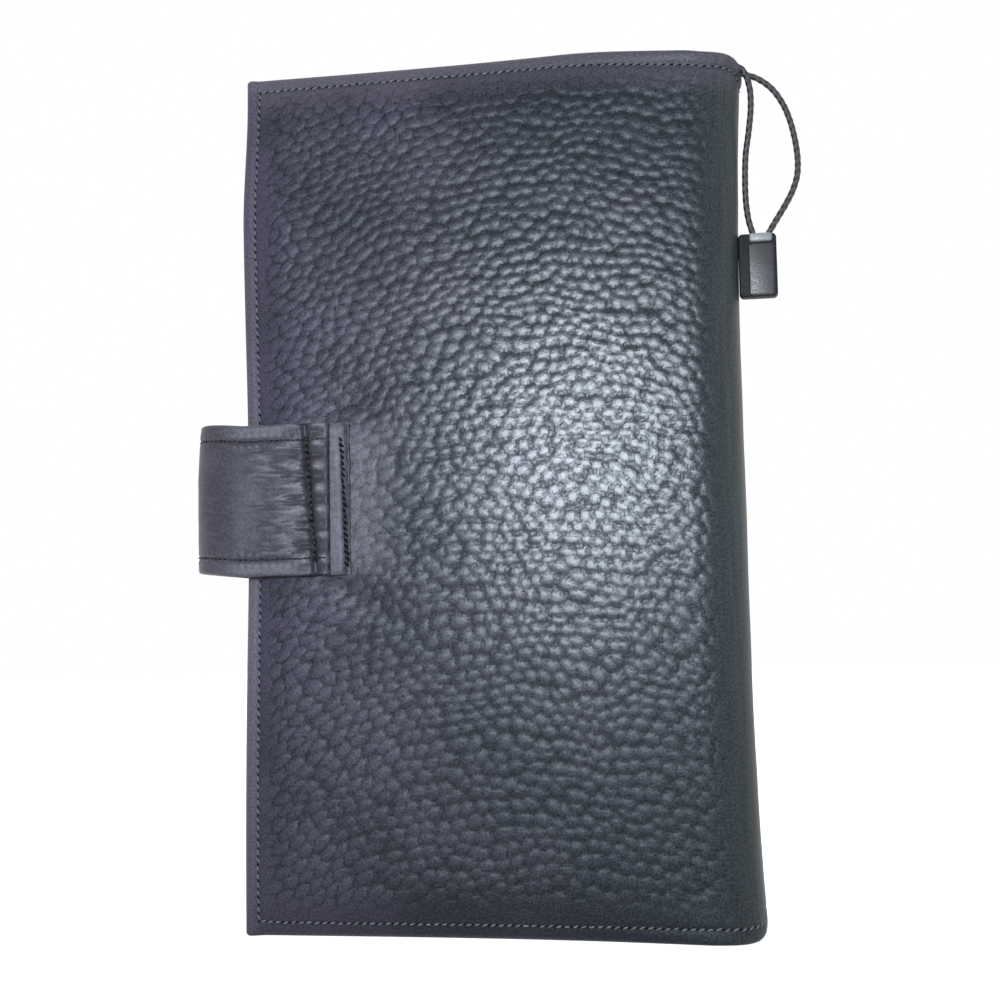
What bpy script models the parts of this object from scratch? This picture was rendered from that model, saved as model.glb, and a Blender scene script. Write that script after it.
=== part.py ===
# A long leather wallet with a closure strap and a zipped middle, closed and standing on its short end.
# Sizes are in millimetres. In the wallet's own frame x = 0, y = 0 is the centre of the spine's bend:
# x runs towards the spine, y from the back cover to the front cover, z up the spine.

import math

import bmesh
import bpy
from mathutils import Vector

MM = 0.001
GAP = 0.3  # kept between pieces that touch
BACK = -1
FRONT = 1

# covers
COVER_HEIGHT = 190.0
COVER_REACH = 99.0  # from the sewn opening edge to where the spine starts to bend
SPINE_RADIUS = 11.0
SHOULDER_HALF = 9.0  # half the closed thickness, just inside the opening edge
SHOULDER_RUN = 16.0  # width of the slope down to the sewn edges
EDGE_SWEEP = 3.5  # power of the sewn ends' flare towards the spine
HEAD_DROOP = 3.6  # the top edge sinks this much on its way to the spine
HEAD_RUN = 44.0  # leather from the start of that droop to the spine's middle
HEAD_DIP = 4.0  # further drop of the top edge round the bend
TAIL_DIP = 3.0
FOLD_TURN = math.radians(45)  # where the spine piece starts, round the bend
LEATHER = 1.5
BOARD = 1.2
BOARD_INSET = 9.0
LINING = 0.4
LINING_INSET = 0.8
LINING_BLEND = 7.5  # the lining climbs over the board's edge in this width

# inner panels and pockets
PANEL = 0.8
PANEL_INSET = 1.0
PANEL_STOP = 6.0  # the panels end this far before the bend's centre
POCKET = 0.45
POCKET_CLEAR = 0.45  # half the space between the two sides' pockets
POCKET_SLANT = 0.25  # extra room under a pocket's lip
POCKET_STEP = 13.0
POCKET_LAP = 3.0
POCKET_MARGIN = 3.0
BACK_POCKETS = 5
BACK_POCKET_DROP = 19.0  # the first lip, below the cover's top
FRONT_POCKETS = 3
WINDOW_TO_POCKET = 10.0
CARD_DEPTH = 56.0
SLIP_TOP = 54.0
SLIP_BOTTOM = 4.0
WINDOW_DROP = 8.0
WINDOW_HEIGHT = 70.0
WINDOW_BORDER = 8.0
FILM = 0.25
FILM_LAP = 4.0

# closure strap
STRAP_WIDTH = 33.0
STRAP_MIDDLE = 94.0
STRAP_LEATHER = 1.3
STRAP_LINING = 0.9
STRAP_END = 78.2  # sewn end of the outer layer, from the bend's centre
UNDERLAY_END = 73.4
STRAP_FOLD = 97.0  # where the strap leaves the covers
STRAP_BULGE = 14.4
STRAP_SQUARENESS = 2.3
TONGUE_RISE = 2.0  # room for the snap between the tongue and the front cover
TONGUE_END = 56.0
TONGUE_ROUND = 14.0

# snap
SNAP_AT = 66.0
STUD_FLANGE_RADIUS = 4.5
FLANGE = 0.5
STUD_RADIUS = 2.3
STUD_HEIGHT = 1.4
SNAP_CLEARANCE = 0.6
SOCKET_WALL = 2.1
CAP_RADIUS = 6.2
CAP_HEIGHT = 1.4
POST_RADIUS = 1.2
RIVET_RADIUS = 3.5
HOLE_CLEARANCE = 0.4

# zip
TAPE = 0.5
TAPE_AT = 3.6  # the tape's inner face, from the bend's centre
TAPE_SPLIT = 0.9  # half the space between the two tapes
TAPE_LAP = 2.0  # sewn behind the inner panel, before its end
TAPE_SLACK = 2.0  # the tape bellies out this much on its way to the chain
TAPE_LOW = 10.0
TAPE_DROP = 7.5
CHAIN_THICKNESS = 1.5
CHAIN_WIDTH = 2.2
CHAIN_SPLIT = 0.6  # half the space that the slider's neck runs in
STOP_LENGTH = 2.0
SLIDER_LENGTH = 9.0
SLIDER_DROP = 11.5
SLIDER_TRAVEL = 150.0
SLIDER_PLATE = 1.2
SLIDER_WALL = 0.9
SLIDER_REAR_HALF = 3.0
NECK_HALF = 0.3
NECK_LENGTH = 3.0
NECK_DROP = 1.0  # from the slider's top
JOIN_LAP = 0.5  # that the slider's parts run into each other
BRIDGE_BAR = 0.8
BRIDGE_HALF_WIDTH = 1.0
BRIDGE_LENGTH = 7.0

# cord pull
CORD_RADIUS = 0.7
CORD_ROOM = 0.3
CORD_SPACING = 3.4
CORD_SIDE = 3.0  # of each strand, from the slider's middle
CORD_SHIFT = 0.7  # of the two strands, from the middle of the moulded end
PULL_WIDTH = 7.9
PULL_THICKNESS = 4.6
PULL_HEIGHT = 13.8
PULL_DROP = 40.9  # below the cover's top
PULL_OFFSET = 0.6  # from the spine's outer face
PULL_ROUND = 1.1
COLLAR_HEIGHT = 2.0
COLLAR_STEP = 0.3
PANEL_RECESS = 0.4
RECESS_BORDER = 1.4

BACK_TOP = COVER_HEIGHT - BACK_POCKET_DROP
WINDOW_TOP = COVER_HEIGHT - WINDOW_DROP
FRONT_TOP = WINDOW_TOP - WINDOW_HEIGHT - WINDOW_TO_POCKET
TAPE_HIGH = COVER_HEIGHT - TAPE_DROP
SLIDER_TOP = COVER_HEIGHT - SLIDER_DROP
PULL_TOP = COVER_HEIGHT - PULL_DROP
PANEL_FACE = POCKET_CLEAR + 2 * POCKET + POCKET_SLANT + 2 * GAP
EDGE_HALF = PANEL_FACE + PANEL + GAP + LINING + GAP + LEATHER
STRAP_THICKNESS = STRAP_LINING + GAP + STRAP_LEATHER
SLIDER_MIDDLE = SLIDER_TOP - SLIDER_LENGTH / 2
CHAIN_AT = TAPE_AT - GAP - CHAIN_THICKNESS
SLIDER_FACE = CHAIN_AT - GAP - SLIDER_PLATE
CORD_AT = SLIDER_FACE - CORD_ROOM - CORD_RADIUS
BRIDGE_AT = CORD_AT - CORD_RADIUS - CORD_ROOM - BRIDGE_BAR


def clamp(value):
    return min(max(value, 0.0), 1.0)


def shoulder(distance):
    return 1 - (1 - clamp(distance / SHOULDER_RUN)) ** 3


def full_half(x):
    """Half the closed thickness along the middle of the wallet, where no edge is sewn down."""
    return SHOULDER_HALF + (SPINE_RADIUS - SHOULDER_HALF) * (x + COVER_REACH) / COVER_REACH


def cover_half(x, z):
    """Distance of a cover's outer face from the middle of the closed wallet."""
    along = clamp((x + COVER_REACH) / COVER_REACH)
    edge = EDGE_HALF + (SPINE_RADIUS - EDGE_HALF) * along**EDGE_SWEEP
    rise = shoulder(x + COVER_REACH) * shoulder(min(z, COVER_HEIGHT - z))
    return edge + (full_half(x) - edge) * rise


def skin(run, z, depth, side):
    """A point `depth` under the outer leather, `run` along it from the opening edge."""
    if run <= COVER_REACH:
        x = run - COVER_REACH
        return x, side * (cover_half(x, z) - depth)
    turn = (run - COVER_REACH) / SPINE_RADIUS
    reach = SPINE_RADIUS - depth
    return reach * math.sin(turn), side * reach * math.cos(turn)


def bend_dip(run):
    turn = max(run - COVER_REACH, 0.0) / SPINE_RADIUS
    return 1 - abs(math.cos(turn))


def ease(share):
    return share * share * (3 - 2 * share)


def foot_height(run):
    return TAIL_DIP * bend_dip(run)


def head_height(run):
    """Height of the leather's top edge, which droops towards the spine and dips round it."""
    off_middle = abs(run - COVER_REACH - SPINE_RADIUS * math.pi / 2)
    droop = HEAD_DROOP * ease(clamp(1 - off_middle / HEAD_RUN))
    return COVER_HEIGHT - droop - HEAD_DIP * bend_dip(run)


def lining_depth(run, z):
    """The lining lies on the leather at the sewn edges and on the board further in."""
    inside = clamp((min(run, z, COVER_HEIGHT - z) - LINING_INSET) / LINING_BLEND)
    return LEATHER + GAP + (BOARD + GAP) * ease(inside)


def spread(value, stops):
    """Piecewise straight map of 0..1, through pairs of share and place."""
    for (share_a, place_a), (share_b, place_b) in zip(stops, stops[1:]):
        if value <= share_b:
            return place_a + (place_b - place_a) * (value - share_a) / (share_b - share_a)
    return stops[-1][1]


def smooth_curve(points, share):
    """Catmull-Rom curve through the points, share 0..1 from the first to the last."""
    spans = len(points) - 1
    index = min(int(share * spans), spans - 1)
    t = share * spans - index
    ends = [points[max(index - 1, 0)], points[index], points[index + 1], points[min(index + 2, spans)]]
    a, b, c, d = (Vector(point) for point in ends)
    return b + (c - a) * t / 2 + (a * 2 - b * 5 + c * 4 - d) * t * t / 2 + (b * 3 - a - c * 3 + d) * t**3 / 2


def new_collection(name):
    collection = bpy.data.collections.new(name)
    bpy.context.scene.collection.children.link(collection)
    return collection


def new_empty(name, place, parent=None):
    """A joint's empty, at a place in the wallet's frame."""
    empty = bpy.data.objects.new(name, None)
    parts.objects.link(empty)
    empty["place"] = place
    empty.parent = parent
    origin = Vector(parent["place"]) if parent else Vector((0, 0, 0))
    empty.location = (Vector(place) - origin) * MM
    return empty


def plain_material(name, colour, roughness, metallic=0.0):
    material = bpy.data.materials.new(name)
    material.use_nodes = True
    shader = material.node_tree.nodes["Principled BSDF"]
    shader.inputs["Base Color"].default_value = (*colour, 1)
    shader.inputs["Roughness"].default_value = roughness
    shader.inputs["Metallic"].default_value = metallic
    return material


LOOKS = {
    "leather": ((0.032, 0.035, 0.048), 0.5, 0.0),
    "smooth_leather": ((0.04, 0.042, 0.055), 0.42, 0.0),
    "lining": ((0.05, 0.05, 0.06), 0.8, 0.0),
    "board": ((0.3, 0.27, 0.22), 0.85, 0.0),
    "film": ((0.75, 0.77, 0.78), 0.15, 0.0),
    "nylon": ((0.02, 0.02, 0.025), 0.55, 0.0),
    "metal": ((0.3, 0.3, 0.32), 0.3, 1.0),
    "plastic": ((0.03, 0.03, 0.04), 0.4, 0.0),
}


def finish(item, name, body, look):
    """Links a finished object under its body's empty and gives it a material of its own."""
    if item.name not in parts.objects:
        parts.objects.link(item)
    for other in list(item.users_collection):
        if other != parts:
            other.objects.unlink(item)
    item.name = name
    item.parent = body
    item.location = item.location - Vector(body["place"]) * MM
    item.data.materials.clear()
    item.data.materials.append(plain_material(name, *LOOKS[look]))
    return item


def sheet(name, body, look, place, across, up):
    """A closed sheet: a grid thickened into a slab, each corner then put where `place` says."""
    shape = bmesh.new()
    bmesh.ops.create_grid(shape, x_segments=across, y_segments=up, size=0.5)
    made = bmesh.ops.extrude_face_region(shape, geom=shape.faces[:])
    for vert in made["geom"]:
        if isinstance(vert, bmesh.types.BMVert):
            vert.co.z = 1
    for vert in shape.verts:
        vert.co = Vector(place(vert.co.x + 0.5, vert.co.y + 0.5, vert.co.z)) * MM
    bmesh.ops.recalc_face_normals(shape, faces=shape.faces)
    mesh = bpy.data.meshes.new(name)
    shape.to_mesh(mesh)
    shape.free()
    return finish(bpy.data.objects.new(name, mesh), name, body, look)


def block_mesh(name, low, high):
    """A box between two corners, in millimetres."""
    shape = bmesh.new()
    bmesh.ops.create_cube(shape, size=1)
    low, high = Vector(low), Vector(high)
    for vert in shape.verts:
        vert.co = [(a + b) / 2 + c * (b - a) for a, b, c in zip(low, high, vert.co)]
        vert.co *= MM
    mesh = bpy.data.meshes.new(name)
    shape.to_mesh(mesh)
    shape.free()
    return mesh


def block(name, body, look, low, high):
    return finish(bpy.data.objects.new(name, block_mesh(name, low, high)), name, body, look)


def turned(name, body, look, place, profile):
    """A round piece on an axis along +y, turned from (radius, height) pairs, top first."""
    mesh = bpy.data.meshes.new(name)
    points = [(radius * MM, 0, height * MM) for radius, height in profile]
    mesh.from_pydata(points, [(i, i + 1) for i in range(len(points) - 1)], [])
    item = bpy.data.objects.new(name, mesh)
    item.location = Vector(place) * MM
    item.rotation_euler = (-math.pi / 2, 0, 0)
    screw = item.modifiers.new("turn", "SCREW")
    screw.steps = screw.render_steps = 24
    screw.use_merge_vertices = True
    screw.merge_threshold = 0.00001
    return finish(item, name, body, look)


def cut(item, body, mesh):
    """Takes a cutter's mesh out of an object."""
    cutter = bpy.data.objects.new(item.name + "_cut", mesh)
    cutters.objects.link(cutter)
    cutter.parent = body
    cutter.location = -Vector(body["place"]) * MM
    cutter.hide_render = True
    cutter.display_type = "WIRE"
    boolean = item.modifiers.new("cut", "BOOLEAN")
    boolean.operation = "DIFFERENCE"
    boolean.solver = "EXACT"
    boolean.object = cutter


def pin_mesh(name, radius, place, length):
    """A cylinder along y, centred on a place, for cutting a round hole."""
    shape = bmesh.new()
    bmesh.ops.create_cone(
        shape, cap_ends=True, segments=24, radius1=radius * MM, radius2=radius * MM, depth=length * MM
    )
    for vert in shape.verts:
        vert.co = Vector((vert.co.x, vert.co.z, -vert.co.y)) + Vector(place) * MM
    mesh = bpy.data.meshes.new(name)
    shape.to_mesh(mesh)
    shape.free()
    return mesh


def layer(name, body, look, side, runs, inset, depth_at, thickness, cells):
    """A layer of the cover's sandwich, between two runs round the outside of the wallet."""

    def place(u, v, w):
        run = spread(u, runs)
        low = foot_height(run) + inset
        high = head_height(run) - inset
        z = spread(v, [(0, low), (0.25, SHOULDER_RUN), (0.75, COVER_HEIGHT - SHOULDER_RUN), (1, high)])
        x, y = skin(run, z, depth_at(run, z) + thickness * w, side)
        return x, y, z

    return sheet(name, body, look, place, *cells)


def cover_depth(run, z):
    return 0.0


def board_depth(run, z):
    return LEATHER + GAP


def bend_end(depth):
    """Run at which a layer of a cover stops, half a gap before the spine's own piece."""
    return COVER_REACH + SPINE_RADIUS * (FOLD_TURN - GAP / 2 / (SPINE_RADIUS - depth))


def make_cover(side, body, tag):
    fold = [(0.6, COVER_REACH)]
    shoulder_in = (0.35, SHOULDER_RUN)
    runs = [(0, 0), shoulder_in, *fold, (1, bend_end(LEATHER))]
    cover = layer("cover_" + tag, body, "leather", side, runs, 0, cover_depth, LEATHER, (18, 14))
    board_runs = [(0, BOARD_INSET), (0.3, SHOULDER_RUN), (1, COVER_REACH - GAP)]
    board = layer("board_" + tag, body, "board", side, board_runs, BOARD_INSET, board_depth, BOARD, (7, 8))
    depth = LEATHER + BOARD + 2 * GAP + LINING
    runs = [(0, LINING_INSET), shoulder_in, *fold, (1, bend_end(depth))]
    layer("lining_" + tag, body, "lining", side, runs, LINING_INSET, lining_depth, LINING, (14, 12))
    return cover, board


def make_spine(body):
    """The middle of the bend, between the two covers."""

    def bend(depth):
        start = COVER_REACH + SPINE_RADIUS * (FOLD_TURN + GAP / 2 / (SPINE_RADIUS - depth))
        end = COVER_REACH + SPINE_RADIUS * (math.pi - FOLD_TURN - GAP / 2 / (SPINE_RADIUS - depth))
        return [(0, start), (1, end)]

    layer("cover_spine", body, "leather", BACK, bend(LEATHER), 0, cover_depth, LEATHER, (8, 8))
    depth = LEATHER + GAP + BOARD
    layer("board_spine", body, "board", BACK, bend(depth), BOARD_INSET, board_depth, BOARD, (6, 4))
    depth = depth + GAP + LINING
    layer("lining_spine", body, "lining", BACK, bend(depth), LINING_INSET, lining_depth, LINING, (6, 8))


def make_panel(side, body, tag):
    """The flat inner leather, whose top follows the cover's."""

    def place(u, v, w):
        run = PANEL_INSET + (COVER_REACH - PANEL_STOP - PANEL_INSET) * u
        z = PANEL_INSET + (head_height(run) - 2 * PANEL_INSET) * v
        return run - COVER_REACH, side * (PANEL_FACE + PANEL * w), z

    sheet("inner_panel_" + tag, body, "leather", place, 12, 2)


def pocket(name, side, body, bottom, top):
    """A pocket's leather: its foot lies by the panel and its lip stands out to the middle."""
    left = -COVER_REACH + PANEL_INSET + POCKET_MARGIN
    right = -PANEL_STOP - POCKET_MARGIN
    foot = PANEL_FACE - GAP - POCKET

    def place(u, v, w):
        out = foot + (POCKET_CLEAR - foot) * v + POCKET * w
        return left + (right - left) * u, side * out, bottom + (top - bottom) * v

    return sheet(name, body, "leather", place, 2, 2)


def make_pockets(side, body, tag, count, first_top):
    for index in range(count):
        top = first_top - index * POCKET_STEP
        last = index == count - 1
        height = CARD_DEPTH if last else POCKET_STEP + POCKET_LAP
        pocket(f"card_pocket_{tag}_{index + 1}", side, body, top - height, top)


def make_window(body):
    """The identity card's window: a leather frame with a clear film behind it."""
    left = -COVER_REACH + PANEL_INSET + POCKET_MARGIN
    right = -PANEL_STOP - POCKET_MARGIN
    bottom = WINDOW_TOP - WINDOW_HEIGHT
    low = POCKET_CLEAR + POCKET / 2
    rim = WINDOW_BORDER
    frame = block(
        "id_window_frame", body, "leather", (left, low, bottom), (right, low + POCKET, WINDOW_TOP)
    )
    hole = block_mesh(
        "window", (left + rim, low - 1, bottom + rim), (right - rim, low + POCKET + 1, WINDOW_TOP - rim)
    )
    cut(frame, body, hole)
    low = low + POCKET + GAP
    edge = rim - FILM_LAP
    block(
        "id_window_film",
        body,
        "film",
        (left + edge, low, bottom + edge),
        (right - edge, low + FILM, WINDOW_TOP - edge),
    )


def strap_half(distance):
    """Half the strap's width near its rounded end."""
    inside = min(distance, TONGUE_ROUND)
    return STRAP_WIDTH / 2 - TONGUE_ROUND + math.sqrt(TONGUE_ROUND**2 - (TONGUE_ROUND - inside) ** 2)


def tongue_face():
    return full_half(-SNAP_AT) + GAP + TONGUE_RISE


def base_face(x):
    return full_half(x) + GAP


def make_strap_base(body):
    """The strap's two layers where they are sewn to the back cover."""
    fold = -STRAP_FOLD + GAP / 2

    def flat_layer(name, look, end, lift, thickness):
        def place(u, v, w):
            x = fold + (end - fold) * u
            return x, -(base_face(x) + lift + thickness * w), STRAP_MIDDLE + STRAP_WIDTH * (v - 0.5)

        sheet(name, body, look, place, 3, 1)

    flat_layer("strap_underlay", "smooth_leather", -UNDERLAY_END, 0, STRAP_LINING)
    flat_layer("strap_base", "smooth_leather", -STRAP_END, STRAP_LINING + GAP, STRAP_LEATHER)


def make_strap_wrap(body):
    """The strap's two layers where they pass round the opening edge, a squarish half oval."""
    start = base_face(-STRAP_FOLD) + STRAP_THICKNESS
    end = tongue_face() + STRAP_THICKNESS
    middle = (end - start) / 2
    half = (end + start) / 2
    power = 2 / STRAP_SQUARENESS

    def wrap_layer(name, depth, thickness):
        def place(u, v, w):
            turn = math.pi * (u - 0.5)
            inward = depth + thickness * w
            reach = (STRAP_BULGE - GAP / 2 - inward) * math.cos(turn) ** power
            side = math.copysign(abs(math.sin(turn)) ** power, turn)
            x = -STRAP_FOLD - GAP / 2 - reach
            return x, middle + (half - inward) * side, STRAP_MIDDLE + STRAP_WIDTH * (v - 0.5)

        sheet(name, body, "smooth_leather", place, 18, 1)

    wrap_layer("strap_wrap", 0, STRAP_LEATHER)
    wrap_layer("strap_wrap_lining", STRAP_LEATHER + GAP, STRAP_LINING)


def make_tongue(body):
    """The strap's two layers over the front cover, with a rounded end and the snap's holes."""
    fold = -STRAP_FOLD + GAP / 2

    def flat_layer(name, lift, thickness, hole):
        def place(u, v, w):
            share = 1 - (1 - u) ** 2
            x = fold + (-TONGUE_END - fold) * share
            half = strap_half(-TONGUE_END - x)
            y = tongue_face() + lift + thickness * w
            return x, y, STRAP_MIDDLE + half * (2 * v - 1)

        item = sheet(name, body, "smooth_leather", place, 14, 2)
        centre = (-SNAP_AT, tongue_face() + lift, STRAP_MIDDLE)
        cut(item, body, pin_mesh(name + "_hole", hole, centre, 4 * thickness))

    socket_radius = STUD_RADIUS + SNAP_CLEARANCE + SOCKET_WALL
    flat_layer("strap_tongue_lining", 0, STRAP_LINING, socket_radius + HOLE_CLEARANCE)
    flat_layer("strap_tongue", STRAP_LINING + GAP, STRAP_LEATHER, POST_RADIUS + HOLE_CLEARANCE)


def make_snap(tongue_body, front_body):
    """Stud and rivet on the front cover, socket and cap on the tongue."""
    seat = full_half(-SNAP_AT + STUD_FLANGE_RADIUS) + GAP
    tip = FLANGE + STUD_HEIGHT
    neck = STUD_RADIUS - SNAP_CLEARANCE / 2
    stud = [
        (0, tip),
        (neck, tip),
        (STUD_RADIUS, tip - STUD_HEIGHT / 3),
        (neck, FLANGE),
        (STUD_FLANGE_RADIUS, FLANGE),
        (STUD_FLANGE_RADIUS, 0),
        (0, 0),
    ]
    turned("snap_stud", front_body, "metal", (-SNAP_AT, seat, STRAP_MIDDLE), stud)

    leather_back = full_half(-SNAP_AT - RIVET_RADIUS) - LEATHER
    rivet_seat = leather_back - GAP - FLANGE
    post_top = seat - GAP - rivet_seat
    rivet = [
        (0, post_top),
        (POST_RADIUS, post_top),
        (POST_RADIUS, FLANGE),
        (RIVET_RADIUS, FLANGE),
        (RIVET_RADIUS, 0),
        (0, 0),
    ]
    turned("snap_rivet", front_body, "metal", (-SNAP_AT, rivet_seat, STRAP_MIDDLE), rivet)

    bore = STUD_RADIUS + SNAP_CLEARANCE
    socket_seat = seat + FLANGE + GAP
    depth = STUD_HEIGHT
    back = tongue_face() + STRAP_LINING - socket_seat
    socket = [
        (0, back),
        (bore + SOCKET_WALL, back),
        (bore + SOCKET_WALL, 0),
        (bore, 0),
        (bore, depth),
        (0, depth),
    ]
    turned("snap_socket", tongue_body, "metal", (-SNAP_AT, socket_seat, STRAP_MIDDLE), socket)

    cap_seat = tongue_face() + STRAP_THICKNESS + GAP
    post = cap_seat - (socket_seat + back) - GAP
    turns = [math.radians(angle) for angle in (90, 70, 50, 30, 12)]
    dome = [(CAP_RADIUS * math.cos(turn), CAP_HEIGHT * math.sin(turn)) for turn in turns]
    dome[0] = (0, CAP_HEIGHT)
    cap = [*dome, (CAP_RADIUS, 0), (POST_RADIUS, 0), (POST_RADIUS, -post), (0, -post)]
    turned("snap_cap", tongue_body, "metal", (-SNAP_AT, cap_seat, STRAP_MIDDLE), cap)


def drill_for_snap(cover, board, body):
    centre = (-SNAP_AT, full_half(-SNAP_AT) - LEATHER, STRAP_MIDDLE)
    cut(cover, body, pin_mesh("cover_hole", POST_RADIUS + HOLE_CLEARANCE, centre, 4 * LEATHER))
    cut(board, body, pin_mesh("board_hole", RIVET_RADIUS + HOLE_CLEARANCE, centre, 4 * LEATHER))


def make_zip(body):
    """Two tapes from the inner panels to the middle of the spine, the chain on them and its stops."""
    face = TAPE_AT + TAPE / 2
    seat = PANEL_FACE + PANEL + GAP + TAPE / 2
    loose = seat + TAPE_SLACK
    path = [
        (-PANEL_STOP - TAPE_LAP, seat, 0),
        (-PANEL_STOP + TAPE_LAP, seat + 0.05 * TAPE_SLACK, 0),
        (face - 2 * TAPE_SLACK, loose - 0.2 * TAPE_SLACK, 0),
        (face - 0.5 * TAPE_SLACK, loose, 0),
        (face, loose - 0.7 * TAPE_SLACK, 0),
        (face, TAPE_SPLIT, 0),
    ]

    def tape(name, side):
        def place(u, v, w):
            here = smooth_curve(path, u)
            along = smooth_curve(path, min(u + 0.01, 1)) - smooth_curve(path, max(u - 0.01, 0))
            across = Vector((along.y, -along.x, 0)).normalized()
            x, y, _ = here + across * TAPE * (w - 0.5)
            return x, side * y, TAPE_LOW + (TAPE_HIGH - TAPE_LOW) * v

        sheet(name, body, "nylon", place, 15, 1)

    tape("zip_tape_back", BACK)
    tape("zip_tape_front", FRONT)

    low = SLIDER_TOP - SLIDER_LENGTH - SLIDER_TRAVEL - GAP
    high = SLIDER_TOP + GAP
    for tag, side in (("back", BACK), ("front", FRONT)):
        near, far = sorted((side * CHAIN_SPLIT, side * (CHAIN_SPLIT + CHAIN_WIDTH)))
        corner = (CHAIN_AT, near, low + GAP)
        block("zip_chain_" + tag, body, "plastic", corner, (CHAIN_AT + CHAIN_THICKNESS, far, high - GAP))
    half = CHAIN_SPLIT + CHAIN_WIDTH
    for tag, start in (("top", high), ("bottom", low - STOP_LENGTH)):
        corner = (CHAIN_AT, -half, start)
        far = (CHAIN_AT + CHAIN_THICKNESS, half, start + STOP_LENGTH)
        block(f"zip_{tag}_stop", body, "metal", corner, far)


def join(item, body, mesh):
    """Joins another mesh to an object, as one solid."""
    cut(item, body, mesh)
    item.modifiers[-1].operation = "UNION"


def make_slider(body):
    """Two plates held by a neck, side walls over the chain and a bridge that the cord passes through."""
    low = SLIDER_TOP - SLIDER_LENGTH
    high = SLIDER_TOP
    chain_half = CHAIN_SPLIT + CHAIN_WIDTH
    inner_half = chain_half + GAP
    half = inner_half + SLIDER_WALL
    plate_back = SLIDER_FACE + SLIDER_PLATE
    rear = TAPE_AT + TAPE + GAP
    slider = block("zip_slider", body, "metal", (SLIDER_FACE, -half, low), (plate_back, half, high))
    wall_end = TAPE_AT - GAP
    for side in (BACK, FRONT):
        near, far = sorted((side * inner_half, side * half))
        corner = (plate_back - JOIN_LAP, near, low)
        join(slider, body, block_mesh("slider_wall", corner, (wall_end, far, high)))
    neck = block_mesh(
        "slider_neck",
        (plate_back - JOIN_LAP, -NECK_HALF, high - NECK_LENGTH - NECK_DROP),
        (rear + JOIN_LAP, NECK_HALF, high - NECK_DROP),
    )
    join(slider, body, neck)
    corner = (rear, -SLIDER_REAR_HALF, low)
    join(slider, body, block_mesh("slider_rear", corner, (rear + SLIDER_PLATE, SLIDER_REAR_HALF, high)))
    bridge_low = SLIDER_MIDDLE - BRIDGE_LENGTH / 2
    bridge_high = SLIDER_MIDDLE + BRIDGE_LENGTH / 2
    wide = BRIDGE_HALF_WIDTH
    bar = block_mesh(
        "slider_bridge", (BRIDGE_AT, -wide, bridge_low), (BRIDGE_AT + BRIDGE_BAR, wide, bridge_high)
    )
    join(slider, body, bar)
    for start in (bridge_low, bridge_high - BRIDGE_BAR):
        corner = (BRIDGE_AT + BRIDGE_BAR / 2, -wide, start)
        far = (SLIDER_FACE + BRIDGE_BAR / 2, wide, start + BRIDGE_BAR)
        join(slider, body, block_mesh("slider_leg", corner, far))


def cord_route():
    """The cord's loop: from the moulded end over the spine's top, through the bridge and back."""
    middle = SPINE_RADIUS + PULL_OFFSET + PULL_WIDTH / 2 + CORD_SHIFT
    end = PULL_TOP + GAP
    top = COVER_HEIGHT
    inner = [
        (middle - CORD_SPACING / 2, 0, end),
        (SPINE_RADIUS + 2.7, -0.6, end + 3.2),
        (SPINE_RADIUS + 2.3, -1.2, end + 7.2),
        (SPINE_RADIUS + 2.3, -1.6, end + 12.0),
        (SPINE_RADIUS + 2.6, -2.0, end + 17.0),
        (SPINE_RADIUS + 3.4, -2.4, end + 22.0),
        (SPINE_RADIUS + 4.0, -2.7, end + 27.0),
        (SPINE_RADIUS + 3.9, -CORD_SIDE, end + 31.5),
        (SPINE_RADIUS + 2.6, -CORD_SIDE, top - 5.2),
        (SPINE_RADIUS - 0.4, -CORD_SIDE, top - 3.5),
    ]
    over = [
        (SPINE_RADIUS - 4.5, CORD_SIDE, top - 3.1),
        (CORD_AT + 2.4, CORD_SIDE, top - 4.5),
        (CORD_AT + 0.3, CORD_SIDE, top - 8.0),
        (CORD_AT, CORD_SIDE, SLIDER_MIDDLE + 3.5),
        (CORD_AT, 0.7 * CORD_SIDE, SLIDER_MIDDLE + 0.9),
    ]
    outer = [
        (SPINE_RADIUS - 0.5, CORD_SIDE, top - 3.3),
        (SPINE_RADIUS + 3.0, CORD_SIDE, top - 4.1),
        (SPINE_RADIUS + 6.0, 2.8, top - 5.5),
        (SPINE_RADIUS + 8.8, 2.6, end + 32.6),
        (SPINE_RADIUS + 10.9, 2.4, end + 29.2),
        (SPINE_RADIUS + 12.2, 2.1, end + 25.7),
        (SPINE_RADIUS + 13.0, 1.9, end + 22.3),
        (SPINE_RADIUS + 13.5, 1.7, end + 19.0),
        (SPINE_RADIUS + 13.7, 1.5, end + 15.6),
        (SPINE_RADIUS + 13.4, 1.2, end + 12.4),
        (SPINE_RADIUS + 12.3, 0.9, end + 9.1),
        (SPINE_RADIUS + 10.6, 0.5, end + 5.9),
        (SPINE_RADIUS + 8.6, 0.2, end + 2.7),
        (middle + CORD_SPACING / 2, 0, end),
    ]
    back_over = [(x, -y, z) for x, y, z in over]
    bottom = [(CORD_AT, 0, SLIDER_MIDDLE)]
    return inner + back_over + bottom + over[::-1] + outer


def make_cord(body):
    route = cord_route()
    steps = 2 * (len(route) - 1)
    curve = bpy.data.curves.new("pull_cord", "CURVE")
    curve.dimensions = "3D"
    curve.bevel_depth = CORD_RADIUS * MM
    curve.bevel_resolution = 2
    curve.use_fill_caps = True
    line = curve.splines.new("POLY")
    line.points.add(steps)
    for index in range(steps + 1):
        line.points[index].co = (*(smooth_curve(route, index / steps) * MM), 1)
    return finish(bpy.data.objects.new("pull_cord", curve), "pull_cord", body, "nylon")


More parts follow.
